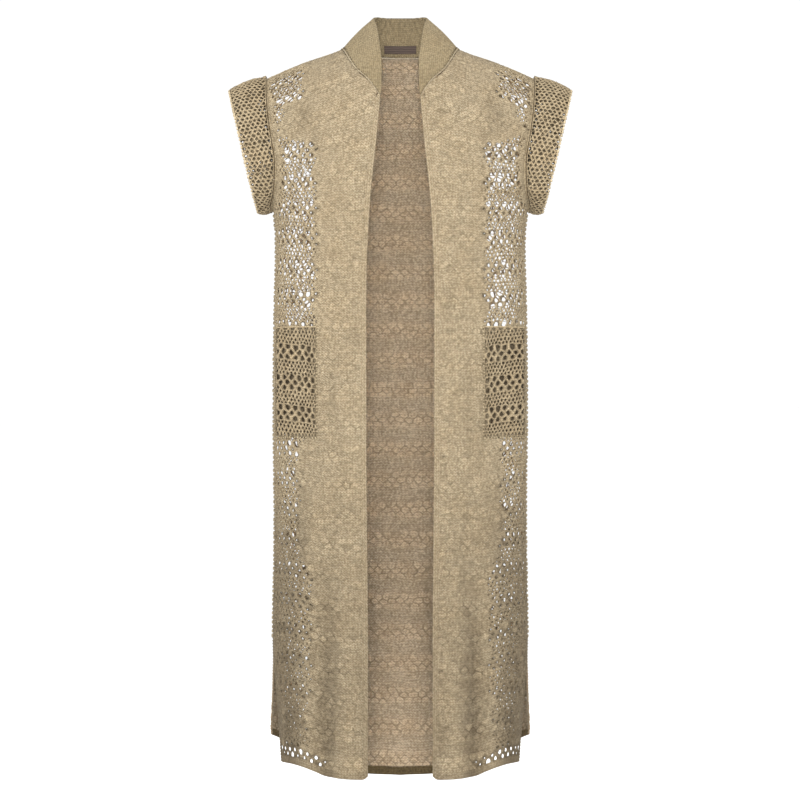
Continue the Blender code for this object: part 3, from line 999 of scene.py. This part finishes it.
# Where the holes stand open: outward of x at each height, by a share of their full size.
FRONT_OPEN = table(
    "z x share",
    (0, 138, 1.7), (-80, 138, 1.7), (-88, 168, 1.0), (-136, 168, 1.0), (-146, 119, 1.2),
    (-400, 119, 1.2), (-573, 132, 0.9), (-590, 143, 0.95), (-745, 143, 0.8), (-760, 124, 0.66),
    (-940, 124, 0.5), (-985, 126, 0.32), (-1100, 126, 0.32),
)
BACK_OPEN = table(
    "z x share",
    (0, 104, 1.6), (-95, 104, 1.6), (-130, 88, 1.5), (-400, 88, 1.5), (-440, 90, 1.4), (-760, 90, 1.3),
    (-800, 90, 1.15), (-1100, 90, 1.15),
)
FRONT_FADE = 12.0
BACK_FADE = 38.0
WANDER = 4.0
WANDER_LENGTHS = (7.0, 23.0)
ARMHOLE_PLAIN = 9.0  # width at the armhole seam that has no holes
ARMHOLE_PLAIN_Z = UNDERARM_Z + 6.0
HEM_GROUP = (10.0, 25.0)  # heights above the hem of the welt's top, and of the top of two rows of big holes
# Painted shade in the folds: the yarn is painted darker along each fold, by the fold's depth.
FOLD_PAINTED_SHADE = 0.035  # how much darker a fold is for each millimetre of its depth
# The fronts' open mesh is given paler yarn. Inside the back the paler tone is painted light, for an inner
# face that lies in shade behind the fronts.
PALE_MESH_AND_PAINTED_LIGHT = (-0.3, -0.42)  # how much paler the open mesh is in front, and inside the back

# Patches where the holes are drawn closer, or where shade is painted on the yarn: by how much, and the x and
# the distance below the neck points over which each comes in.
PATCH = "size x_from x_to down_from down_to"
EVERYWHERE = (-2, -1)  # every x is past both
FRONT_CLOSER = table(
    PATCH,
    (0.35, 164, 172, 820, 900),  # beside the slit
    (0.34, 163, 170, 138, 150),  # the strip along the side seam
)
BACK_CLOSER = table(
    PATCH,
    (0.8, 170, 178, 820, 880),  # beside the slit
    (0.5, *EVERYWHERE, 960, 1010),  # at the hem
)
# Painted shade on the fronts: darker toward the hem, and over the side field low on the front.
FRONT_PAINTED_SHADE = table(PATCH, (0.25, *EVERYWHERE, 420, 1040), (0.34, 118, 168, 540, 760))
# Painted shade on the back: darker toward the hem, and on its inside beside the slit.
BACK_PAINTED_SHADE = table(PATCH, (0.15, *EVERYWHERE, 560, 900))
BACK_INSIDE_PAINTED_SHADE = table(PATCH, (0.8, 168, 180, 800, 900))
HEM_OPEN = (0.72, 104, 116)  # the share of the full hole in the two rows, and the x over which it comes in
PALE_CELLS = (-0.12, 20, 12, 60, 116)  # a tone, its place above the hem, half its height, and its x


def fades(patches, x, z):
    """How much of each patch there is at a place."""
    for patch in patches:
        across = smooth_step(np.abs(x), patch.x_from, patch.x_to)
        yield patch.size * across * smooth_step(-z, patch.down_from, patch.down_to)


def closer(patches, x, z, shares):
    for fade in fades(patches, x, z):
        shares = shares * (1 - fade)
    return shares


def opens_at(rows, x, z, fade):
    """The share of the full hole, from the rows' x outward, with an edge that wanders down the cloth."""
    heights = column(rows, "z")[::-1]
    start = np.interp(z, heights, column(rows, "x")[::-1])
    start = start + WANDER * np.sin(z / WANDER_LENGTHS[0]) * np.sin(z / WANDER_LENGTHS[1])
    return np.interp(z, heights, column(rows, "share")[::-1]) * smooth_step(np.abs(x), start, start + fade)


def at_armhole(x, z):
    edge = along(ARMHOLE, "z", "x", z)
    return smooth_step(np.abs(x), edge - ARMHOLE_PLAIN, edge - ARMHOLE_PLAIN / 2) * (z > ARMHOLE_PLAIN_Z)


def in_pocket(x, z, inset=0.0):
    beside = (x > POCKET_X[0] + 1 + inset) & (x < POCKET_X[1] + 2)
    return beside & (z < POCKET_TOP - 1 - inset) & (z > POCKET_LOW + 1 + inset)


def front_openness(x, z):
    """Open at the sides, the shoulder's tip and the hem, and drawn shut between."""
    above = z - along(FRONT_HEM, "x", "z", x)
    side = closer(FRONT_CLOSER, x, z, opens_at(FRONT_OPEN, x, z, FRONT_FADE))
    low = (above > HEM_GROUP[0] - 1) & (above < HEM_GROUP[1])
    hem = np.where(low, HEM_OPEN[0] * smooth_step(x, *HEM_OPEN[1:]), 0.0)
    return np.where(in_pocket(x, z), 0.0, np.maximum(side, hem) * (1 - at_armhole(x, z)))


# Tones added on the fronts: the open mesh is paler; painted shade in the folds, toward the hem, over the low
# side field, at the armhole seam and behind the pockets; and paler cells just above the hem.
def front_shading(x, z, inside=0.0):
    open_here = PALE_MESH_AND_PAINTED_LIGHT[0] * opens_at(FRONT_OPEN, x, z, FRONT_FADE)
    folds = FOLD_PAINTED_SHADE * pressed_in(x, z, "front")
    above = z - along(FRONT_HEM, "x", "z", x)
    pale, height, half_height, x_from, x_to = PALE_CELLS
    pale_cells = pale * (np.abs(above - height) < half_height) * (x > x_from) * (x < x_to)
    pocket_shade = POCKET_PAINTED_SHADE * in_pocket(x, z, POCKET_SHADE_INSET)
    patches = sum(fades(FRONT_PAINTED_SHADE, x, z))
    return patches + open_here + folds + pale_cells + ARMHOLE_PAINTED_SHADE * at_armhole(x, z) + pocket_shade


def front_drift(sheet, seed):
    end_t = sheet.t[-1]

    def drift(s, t, held):
        sway_s, sway_t = wavy(s, t, seed)
        calm = np.clip(np.minimum(t, end_t - HEM_BAND - t) / WAVES_FADE, 0, 1)
        rise = PANEL_RISE * smooth_step(s + FRONT_REFERENCE_X, *RISE_ACROSS)
        rise = rise * smooth_step(t, *RISE_DOWN) * np.clip((end_t - t) / RISE_FADE, 0, 1)
        free = (t > FRONT_TOP_T) * (t < end_t - HEM_BAND - 0.1)
        return s + sway_s * ~held, t + (sway_t * calm - rise) * free

    return drift


def plain_edge(width, top, low):
    """What is left plain at each t: a seam's margin above `top`, and below `low` what an edging covers."""
    return lambda t: SEAM_MARGIN + (width - LAP - SEAM_MARGIN) * smooth_step(t, top, low)


def front_side(side, seed):
    sheet = panel_sheet("front")
    end_t = sheet.t[-1]
    slit_t = sheet.t_at(SLIT_TOP_Z)
    point_t = float(sheet.t[COLLAR_POINT_ROW * FINE_ROWS])
    margins = (
        plain_edge(BORDER, point_t - POINT_FADE, point_t),
        plain_edge(SLIT_BORDER, slit_t - EDGE_FADE, slit_t + EDGE_FADE),
    )
    mesh = Mesh()
    rows = knit_rows(FRONT_TOP_T, end_t - HEM_BAND, FIRST_PLAIN - 1)
    drift = front_drift(sheet, seed)
    net(mesh, sheet, rows, margins, front_openness, seed, FRONT_TONES, front_shading, drift, FRONT_SPREAD)
    t = np.linspace(point_t - EDGE_FADE, end_t, BORDER_POINTS)
    width = POINT_WIDTH + (BORDER - POINT_WIDTH) * smooth_step(t, point_t - EDGE_FADE, point_t + EDGE_FADE)
    edging(mesh, sheet, sheet.start(t), t, (1, 0), width, FRONT_EDGE_STRIP, 0.5, front_shading)
    t = np.linspace(slit_t, end_t, SLIT_POINTS)
    edging(mesh, sheet, sheet.end(t), t, (-1, 0), SLIT_BORDER, FRONT_SLIT_STRIP, 0.8, front_shading)
    start, end = sheet.start(end_t) + BORDER * HEM_INSET, sheet.end(end_t) - SLIT_BORDER * HEM_INSET
    s, low = np.linspace(start, end, HEM_POINTS), np.full(HEM_POINTS, end_t)
    edging(mesh, sheet, s, low, (0, -1), HEM_BAND + LAP, FRONT_HEM_STRIP, 0.6, front_shading)
    made = build(f"front_{side}_net", mesh, FRONT, "front_" + side, side == "right")
    sheet.area()
    return sheet


# -------- back

SPLIT_T = 520.0  # the back's net is made in two pieces, only to keep each of them small
SPLIT_LAP = 1.2  # how far the upper piece runs in under the lower
BACK_TOP_T = 1.0
BACK_SPREAD = 0.25
WELT_INSET = 2.0
WIDTH_ROWS = 300
CORNER_FLARE = 5.0  # how far the slit's edge is pulled out near the corner of the hem
FLARE_FROM, FLARE_TO, FLARE_END = 60.0, 25.0, 16.0  # distances from the slit's top, then from the corner
SLIT_SCALLOP = 1.5
BACK_SLIT_DOWN = 30.0  # how far below the side seam's end the back's slit edging begins
BACK_TONES = Tones(crest=0.36, rim=0.04, inner=0.54, web=0.03, small=0.5)
# Painted light: the back's yarn is lighter than the fronts' for its inside in shade; its outside is darkened
# by this much to undo it.
OUTSIDE_UNDOES_PAINTED_LIGHT = 0.12  # the yarn is given lighter than the fronts' for its inside, which is in shade


def back_openness(x, z):
    shares = opens_at(BACK_OPEN, x, z, BACK_FADE) * (1 - at_armhole(x, z))
    return closer(BACK_CLOSER, x, z, shares)


# Tones added on the back: painted shade toward the hem, in the folds and on the inside beside the slit;
# painted light on the inside of the open mesh; and the outside darkened to undo the painted light of the
# back's lighter yarn.
def back_shading(x, z, inside=0.0):
    low, slit = sum(fades(BACK_PAINTED_SHADE, x, z)), sum(fades(BACK_INSIDE_PAINTED_SHADE, x, z)) * inside
    open_here = PALE_MESH_AND_PAINTED_LIGHT[1] * opens_at(BACK_OPEN, x, z, BACK_FADE) * inside
    return low + slit + open_here + FOLD_PAINTED_SHADE * pressed_in(x, z, "back") + OUTSIDE_UNDOES_PAINTED_LIGHT * (1 - inside)


def back_pieces(seed):
    sheet = panel_sheet("back")
    end_t = sheet.t[-1]
    slit_t = sheet.t_at(SLIT_TOP_Z - BACK_SLIT_DOWN)
    margins = [plain_edge(SLIT_BORDER, slit_t - EDGE_FADE, slit_t + EDGE_FADE)] * 2

    def drift(s, t, held):
        sway_s, sway_t = wavy(s, t, seed)
        calm = np.clip(np.minimum(t, end_t - HEM_BAND - t) / WAVES_FADE, 0, 1)
        return s + sway_s * ~held, t + sway_t * calm

    mesh = Mesh()
    s = np.linspace(sheet.start(end_t) + WELT_INSET, sheet.end(end_t) - WELT_INSET, WELT_POINTS)
    edging(mesh, sheet, s, np.full(len(s), end_t), (0, -1), HEM_BAND + LAP, WELT_STRIP)
    welt = build("back_hem_band", mesh, WELT)
    rows = knit_rows(BACK_TOP_T, end_t - HEM_BAND, FIRST_PLAIN - 1)
    split = min(range(len(rows)), key=lambda i: abs(rows[i][0] - SPLIT_T))
    top, bottom, kind, stagger = rows[split - 1]
    yoke = rows[: split - 1] + [(top, bottom + SPLIT_LAP, kind, stagger)]
    for name, part in (("back_yoke_net", yoke), ("back_skirt_net", rows[split:])):
        mesh = Mesh()
        net(mesh, sheet, part, margins, back_openness, seed, BACK_TONES, back_shading, drift, BACK_SPREAD)
        if part[-1] is rows[-1]:
            t = np.linspace(slit_t, end_t, SLIT_POINTS)
            flare = CORNER_FLARE * smooth_step(t, slit_t + FLARE_FROM, end_t - FLARE_TO)
            flare = SLIT_SCALLOP + flare * smooth_step(-t, -end_t, FLARE_END - end_t)
            for edge, turn in ((sheet.end(t), -1), (sheet.start(t), 1)):
                edging(mesh, sheet, edge, t, (turn, 0), SLIT_BORDER, BACK_SLIT_STRIP, flare, back_shading)
        piece = build(name, mesh, BACK, "back")
        low, high = part[0][0], part[-1][1]
        at = np.linspace(low, high, WIDTH_ROWS)
        flat = float((sheet.end(at) - sheet.start(at)).max()) * MM, (high - low) * MM
        area = sheet.area(low, high)


# -------- collar

RIB_PITCH = 3.6
RIB_POINTS = 4
RIB_DEPTH = 0.7
RIB_OUTSIDE = 0.6  # the ribs' depth outside, as a share of that inside
RIB_SINK = 0.2
COLLAR_DOWN = 12
COLLAR_ALONG = 400
COLLAR_THINS = 12.0  # a collar less tall than this is thinner
COLLAR_LEAST_WALL = 0.55
COLLAR_TONES = (0.4, 0.12, 0.15, 0.0)  # at the top edge, outside, at the foot and inside
# The darkening between the ribs is painted shade in their grooves.
COLLAR_VALLEY_SHADE = (0.3, 0.2, 0.0, 0.5)  # how much darker it is there between the ribs


def joined(first, second):
    return np.concatenate([first[:-1], [(first[-1] + second[0]) / 2], second[1:]])


def flipped(grid):
    return grid[:, ::-1] * np.array([-1.0, 1.0, 1.0])


def collar_grid(front, back):
    front, back = (grid + outward(grid) * PANEL_WALL for grid in (front, back))
    left = front[COLLAR_POINT_ROW::-1, 0]
    right = flipped(front)[: COLLAR_POINT_ROW + 1, -1]
    past_neck = BACK_COLUMNS[1]
    seam = joined(joined(left, back[0, past_neck:-past_neck]), right)
    run = run_along(seam)
    share = 1 - np.abs(2 * run / run[-1] - 1)
    free = [along(COLLAR_EDGE, "share", axis, share) for axis in "xyz"]
    free[0] = free[0] * np.sign(1 - 2 * run / run[-1])
    free = np.stack(free, axis=-1)
    low = seam + unit(free - seam) * COLLAR_STAND_OFF
    stand = outward(np.stack([free, low]))[0]
    rows = []
    for down in np.linspace(0, 1, COLLAR_ROWS + 1):
        belly = COLLAR_BELLY * np.sin(np.pi * down)
        rows.append(free + (low - free) * down + stand * belly)
    return np.array(rows)


def resampled(grid, rows, columns):
    """The grid on smooth curves through its rows and columns, at places given as their numbers."""
    across = np.apply_along_axis(lambda line: smooth(np.arange(len(line)), line, columns), 1, grid)
    return np.apply_along_axis(lambda line: smooth(np.arange(len(line)), line, rows), 0, across)


def collar_piece(coarse_front, coarse_back):
    coarse = collar_grid(coarse_front, coarse_back)
    last_row, last_column = coarse.shape[0] - 1, coarse.shape[1] - 1
    fine = resampled(coarse, np.linspace(0, last_row, COLLAR_DOWN), np.linspace(0, last_column, COLLAR_ALONG))
    normals = outward(fine)
    run = run_along(fine[-1])
    at = np.linspace(0, run[-1], int(run[-1] / RIB_PITCH) * RIB_POINTS + 1)
    points = np.stack([places_along(at, run, row) for row in fine], axis=1)
    out = unit(np.stack([places_along(at, run, row) for row in normals], axis=1))
    tall = np.linalg.norm(points[:, 0] - points[:, -1], axis=1)
    wall = (COLLAR_WALL * np.clip(tall / COLLAR_THINS, COLLAR_LEAST_WALL, 1.0))[:, None, None]
    rib = (RIB_DEPTH * np.cos(2 * np.pi * at / RIB_PITCH))[:, None, None]
    outer = points + out * (rib * RIB_OUTSIDE - RIB_SINK)
    inner = points - out * (wall - rib)
    top = (outer[:, :1] + inner[:, :1]) / 2 + unit(points[:, :1] - points[:, 1:2])
    low = (outer[:, -1:] + inner[:, -1:]) / 2
    sections = np.concatenate([top, outer, low, inner[:, ::-1]], axis=1)
    valley = (1 - np.cos(2 * np.pi * at / RIB_PITCH))[:, None] / 2
    tones = np.repeat(COLLAR_TONES, (1, COLLAR_DOWN, 1, COLLAR_DOWN))
    depth = np.repeat(COLLAR_VALLEY_SHADE, (1, COLLAR_DOWN, 1, COLLAR_DOWN))
    down = np.concatenate([[0.0], np.arange(COLLAR_DOWN), [COLLAR_DOWN], np.arange(COLLAR_DOWN)[::-1]])
    weave = np.stack(np.broadcast_arrays(at[:, None], down * tall[:, None] / COLLAR_DOWN), axis=-1)
    mesh = Mesh()
    closed_tube(mesh, sections, np.clip(tones + depth * valley, 0, 1), weave)
    made = build("collar_band", mesh, RIB, "collar")
    return fine, normals


# -------- cuffs

CUFF_FINE = 18
CUFF_LAYER = 1.2
CUFF_RING = 240
# Painted shade: the rims of the cuff's holes, its closed cells and the inner layer's face inside the fold are
# painted dark, as the shade in the doubled mesh.
CUFF_TONES = Tones(crest=0.0, rim=0.7, inner=1.0, web=0.6, small=1.0)
CUFF_SHUT = 2.5  # width at the armhole that has no holes
CUFF_MARGIN = 0.4
CUFF_JITTER = 1.5 * JITTER
BIG_HOLES = 0.05  # share of the cuff's holes that are stretched
STRETCHED = 1.5  # their share of the full hole
CUFF_OPEN = (0.95, 0.2)  # the others' share of it, and its spread
LINK_DOWN = 0.9


def armhole_ring(front, back):
    rows = SHOULDER_ROWS + ARMHOLE_ROWS + 1
    behind, before = (
        np.concatenate([grid, outward(grid)], axis=2)[:rows, edge]
        for grid, edge in ((back, 0), (front, -1))
    )
    ring = joined(behind, before[::-1])
    ring[0] = (ring[0] + ring[-1]) / 2
    return ring[:-1, :3], unit(ring[:-1, 3:])


def cuff_grid(front, back):
    ring, normals = armhole_ring(front, back)
    tangents = np.roll(ring, -1, axis=0) - np.roll(ring, 1, axis=0)
    off = unit(np.cross(tangents, normals))
    seat = ring + normals * (PANEL_WALL + CUFF_LIFT)
    middle = (ring.max(axis=0) + ring.min(axis=0)) / 2
    half = (ring.max(axis=0) - ring.min(axis=0)) / 2
    turn = np.arctan2((ring[:, 1] - middle[1]) / half[1], (ring[:, 2] - middle[2]) / half[2])
    top, low = np.array(RIM_TOP), np.array(RIM_LOW)
    leaning = (top + low) / 2 + np.cos(turn)[:, None] * (top - low) / 2
    rim_y = RIM_HALF_DEPTH * np.sin(turn) + RIM_BACK_SHIFT
    rim = np.stack([leaning[:, 0], rim_y, leaning[:, 1]], axis=-1)
    start = seat + off * CUFF_TURN
    swell = np.stack([np.zeros(len(turn)), np.sin(turn), np.cos(turn)], axis=-1)
    rows = [seat - off * CUFF_LAP]
    for out in np.linspace(0, 1, CUFF_ROWS):
        rows.append(start + (rim - start) * out + swell * CUFF_BELLY * np.sin(np.pi * out))
    return np.array(rows)


def cuff_piece(coarse_front, coarse_back, side, seed):
    """One length of mesh, which runs from the armhole to the rim, turns there, and runs back inside."""
    coarse = cuff_grid(coarse_front, coarse_back)
    padded = np.concatenate([coarse[:, -3:], coarse, coarse[:, :4]], axis=1)
    places = 3 + np.linspace(0, coarse.shape[1], CUFF_RING + 1)
    grid = resampled(padded, np.linspace(0, len(coarse) - 1, CUFF_FINE), places)
    normals = outward(np.concatenate([grid[:, -2:-1], grid, grid[:, 1:2]], axis=1))[:, 1:-1]
    outer = grid + normals * (CUFF_WALL - CUFF_LAYER)
    inner = grid + normals * CUFF_LAYER
    turn = (outer[-1] + inner[-1]) / 2 + unit(grid[-1] - grid[-3]) * CUFF_LAYER
    wrap = np.concatenate([outer, turn[None], inner[::-1]])
    path = np.transpose(wrap, (1, 0, 2))[::-1]
    foot = int(np.argmin(path[:-1, 0, 2]))
    path = np.concatenate([path[foot:-1], path[: foot + 1]])
    sheet = Sheet(path, lambda row, run: float(run[CUFF_FINE]))
    total = sheet.t[-1]
    count = 2 * round(total / CUFF_ROW.height / 2)
    kind = CUFF_ROW._replace(height=total / count)
    rows = [(k * kind.height, (k + 1) * kind.height, kind, STAGGER * (k % 2)) for k in range(count)]
    random = np.random.default_rng(seed)

    def openness(x, z):
        stretched = random.random(len(x)) < BIG_HOLES
        free = np.abs(x) > along(ARMHOLE, "z", "x", z) + CUFF_SHUT
        return np.where(stretched, STRETCHED, CUFF_OPEN[0] + random.normal(0, CUFF_OPEN[1], len(x))) * free

    mesh = Mesh()
    margins = [lambda t: CUFF_MARGIN] * 2
    net(mesh, sheet, rows, margins, openness, seed, CUFF_TONES, jitter=CUFF_JITTER)
    stitches(mesh, turn, unit(turn - grid[-1]), RIM_STITCH, seed)
    stitches(mesh, grid[2] - normals[2] * LINK_DOWN, normals[2], LINK_STITCH, seed + 1)
    made = build(f"cuff_{side}_net", mesh, COARSE, "cuff_" + side, side == "right")
    sheet.area()


# -------- pockets

POCKET_LIFT = 1.5
POCKET_BULGE = 1.6
POCKET_SWELL_POWER = 0.6
POCKET_TILT = 8.0
POCKET_SPREAD = 0.5  # how much wider the mesh is stretched at the side than at the inner edge
POCKET_LAST = 6  # the row of the band at the foot of the pocket
POCKET_GRID = (60, 40)
# Painted shade: the rims of the pocket's holes and its inner face are painted dark, as the shade inside the
# pocket.
POCKET_TONES = Tones(crest=0.16, rim=0.6, inner=1.0, web=0.15, small=1.0)
POCKET_OPEN = 0.86
POCKET_MARGIN = 1.0
POCKET_RIM = 2.2
POCKET_SWAY = 0.6
POCKET_WAVES_FADE = 14.0
POCKET_POINTS = 60
POCKET_STITCH_DOWN = 1.2


def pocket_piece(side, seed):
    down, across = (np.linspace(0, 1, n) for n in POCKET_GRID)
    shares = POCKET_MARKS[0] + (POCKET_MARKS[1] - POCKET_MARKS[0]) * across
    grid = panel("front", POCKET_TOP + (POCKET_LOW - POCKET_TOP) * down, shares, shares)
    swell = np.outer(down * (1 - down), across * (1 - across)) * 16  # 1 at the middle, 0 at the edges
    lift = PANEL_WALL + POCKET_LIFT + POCKET_BULGE * swell**POCKET_SWELL_POWER
    grid = grid + outward(grid) * lift[..., None]
    sheet = Sheet(grid, lambda row, run: float(run[-1]))
    end_t = sheet.t[-1]

    def drift(s, t, held):
        left, right = sheet.start(t), sheet.end(t)
        share = np.clip((s - left) / (right - left), 0, 1)
        fade = np.clip(np.minimum(t, end_t - t) / POCKET_WAVES_FADE, 0, 1)
        wide = share - POCKET_SPREAD * share * (1 - share)
        sway_s, sway_t = wavy(s, t, seed)
        tilted = t + (sway_t * POCKET_SWAY - POCKET_TILT * (share - 0.5)) * fade
        return left + (right - left) * wide, tilted

    mesh = Mesh()
    rows = knit_rows(POCKET_MARGIN, end_t - POCKET_MARGIN, POCKET_LAST)
    margins = [lambda t: POCKET_MARGIN] * 2

    def openness(x, z):
        return np.full(np.shape(x), POCKET_OPEN)

    net(mesh, sheet, rows, margins, openness, seed, POCKET_TONES, None, drift)
    corners = [(sheet.start(0), 0), (sheet.start(end_t), end_t), (sheet.end(end_t), end_t), (sheet.end(0), 0)]
    for (s_from, t_from), (s_to, t_to) in zip(corners, corners[1:]):
        s, t = np.linspace(s_from, s_to, POCKET_POINTS), np.linspace(t_from, t_to, POCKET_POINTS)
        path, normals = sheet.frame(s, t)
        stitches(mesh, path - normals * POCKET_STITCH_DOWN, normals, POCKET_STITCH, seed)
    s = np.linspace(sheet.start(0), sheet.end(0), POCKET_POINTS)
    edging(mesh, sheet, s, np.zeros(POCKET_POINTS), (0, 1), POCKET_RIM, POCKET_STRIP)
    made = build(f"pocket_{side}_net", mesh, COARSE, "pocket_" + side, side == "right")
    sheet.area()


# -------- label and seams

SEAM_BEYOND = 0.8
SEAM_UP = 0.1
SPECKS_UP = 0.35  # how far up to the next row of points the specks are
CHAIN_IN = 0.6  # share of the collar's wall
CHAIN_HALF = 90  # columns of the collar
TAPE_DARK = (0.020, 0.013, 0.012)
TAPE_LIGHT = (0.085, 0.062, 0.048)


def label_material():
    tree = Tree("dark_tape")
    place = tree.add("ShaderNodeTexCoord", output="Object")
    inputs = {"Vector": place, "Scale": 125.0, "Distortion": 1.6, "Detail": 2.0}
    weave = tree.add("ShaderNodeTexWave", inputs, output="Fac", wave_type="BANDS", bands_direction="Z")
    mixed = tree.mix("MIX", weave, colour(TAPE_DARK), colour(TAPE_LIGHT))
    tree.links.new(mixed, tree.shader.inputs["Base Color"])
    tree.bump(weave, 0.4, 0.0002)
    tree.set_all({"Roughness": 0.75, "Specular IOR Level": 0.15})
    return tree.material


def both_sides(mesh, path, normals, kind, seed):
    for turn in (1.0, -1.0):
        mirror = np.array([turn, 1.0, 1.0])
        stitches(mesh, path * mirror, normals * mirror, kind, seed + int(turn))


def seams(front_sheet, collar_fine, collar_normals):
    mesh = Mesh()
    low, up = collar_fine[-1], collar_normals[-1]
    beyond = unit(low - collar_fine[-2]) * SEAM_BEYOND
    stitches(mesh, low + beyond + up * SEAM_UP, up, NECK_STITCH, 51)
    stitches(mesh, low + (collar_fine[-2] - low) * SPECKS_UP + up * SEAM_UP, up, NECK_SPECK, 52)
    side, _ = front_sheet.frame(front_sheet.end(front_sheet.t), front_sheet.t)
    side = side[(side[:, 2] < UNDERARM_Z - 2) & (side[:, 2] > SLIT_TOP_Z)] * np.array([1.0, 0.0, 1.0])
    out = np.tile([1.0, 0.0, 0.0], (len(side), 1))
    both_sides(mesh, side, out, SIDE_STITCH, 61)
    shoulder = front_sheet.points[0] * np.array([1.0, 0.0, 1.0])
    up = unit(front_sheet.normals[0] * np.array([1.0, 0.0, 1.0]))
    both_sides(mesh, shoulder, up, SHOULDER_STITCH, 71)
    build("seam_stitches", mesh, FRONT)

    middle = collar_fine.shape[1] // 2
    near = slice(middle - CHAIN_HALF, middle + CHAIN_HALF)
    low, above, up = collar_fine[-1, near], collar_fine[-2, near], collar_normals[-1, near]
    chain = Mesh()
    stitches(chain, low - up * COLLAR_WALL * CHAIN_IN + unit(low - above), -up, NECK_CHAIN, 81)
    build("neck_chain", chain, BACK)


# -------- making everything

# The numbers below are seeds of random draws.
coarse_front = panel("front", levels(), marks(FRONT_MARKS, FRONT_COLUMNS), None)
coarse_back = panel("back", levels(), None, coarse_back_shares())
front_sheet = front_side("left", 11)
front_side("right", 12)
back_pieces(21)
collar_fine, collar_normals = collar_piece(coarse_front, coarse_back)
for side, seed in (("left", 31), ("right", 32)):
    cuff_piece(coarse_front, coarse_back, side, seed)
    pocket_piece(side, seed + 10)
seams(front_sheet, collar_fine, collar_normals)
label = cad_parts["label"]
label.data.materials.clear()
label.data.materials.append(label_material())

# -------- stage, light and camera

FLOOR_Z = -1.30
FLOOR_HALF = 300.0
WORLD_STRENGTH = 1.04
AIM = Vector((0.0, 0.0, -0.35))
LIGHTS = table(
    "name place size power",
    ("key", (-0.2, -1.9, 0.8), 1.3, 46.0),
    ("front_fill", (0.0, -3.7, -0.1), 0.5, 92.0),
    ("back_light", (0.5, 2.6, 0.7), 1.6, 44.0),
)
CAMERA_PLACE = (-0.0004, -4.0, -0.518)
LENS = 121.6
SENSOR = 36.0

floor_tree = Tree("pale_floor")
floor_tree.set_all({"Base Color": (0.97, 0.97, 0.97, 1.0), "Roughness": 0.9})
floor_mesh = bpy.data.meshes.new("floor")
corners = [(x * FLOOR_HALF, y * FLOOR_HALF, FLOOR_Z) for x, y in ((-1, -1), (1, -1), (1, 1), (-1, 1))]
floor_mesh.from_pydata(corners, [], [(0, 1, 2, 3)])
floor_mesh.materials.append(floor_tree.material)
floor = added("floor", floor_mesh)

world = bpy.data.worlds.new("studio")
world.use_nodes = True
background = world.node_tree.nodes["Background"]
background.inputs["Color"].default_value = (1.0, 1.0, 1.0, 1.0)
background.inputs["Strength"].default_value = WORLD_STRENGTH
bpy.context.scene.world = world

for row in LIGHTS:
    data = bpy.data.lights.new(row.name, "AREA")
    data.energy = row.power
    data.size = row.size
    lamp = added(row.name, data)
    lamp.location = row.place
    lamp.rotation_euler = (AIM - Vector(row.place)).to_track_quat("-Z", "Y").to_euler()

camera_data = bpy.data.cameras.new("camera")
camera_data.sensor_width = SENSOR
camera_data.lens = LENS
camera = added("camera", camera_data)
camera.location = CAMERA_PLACE
camera.rotation_euler = (np.pi / 2, 0.0, 0.0)
bpy.context.scene.camera = camera
bpy.context.scene.view_settings.view_transform = "Standard"

bpy.context.view_layer.update()
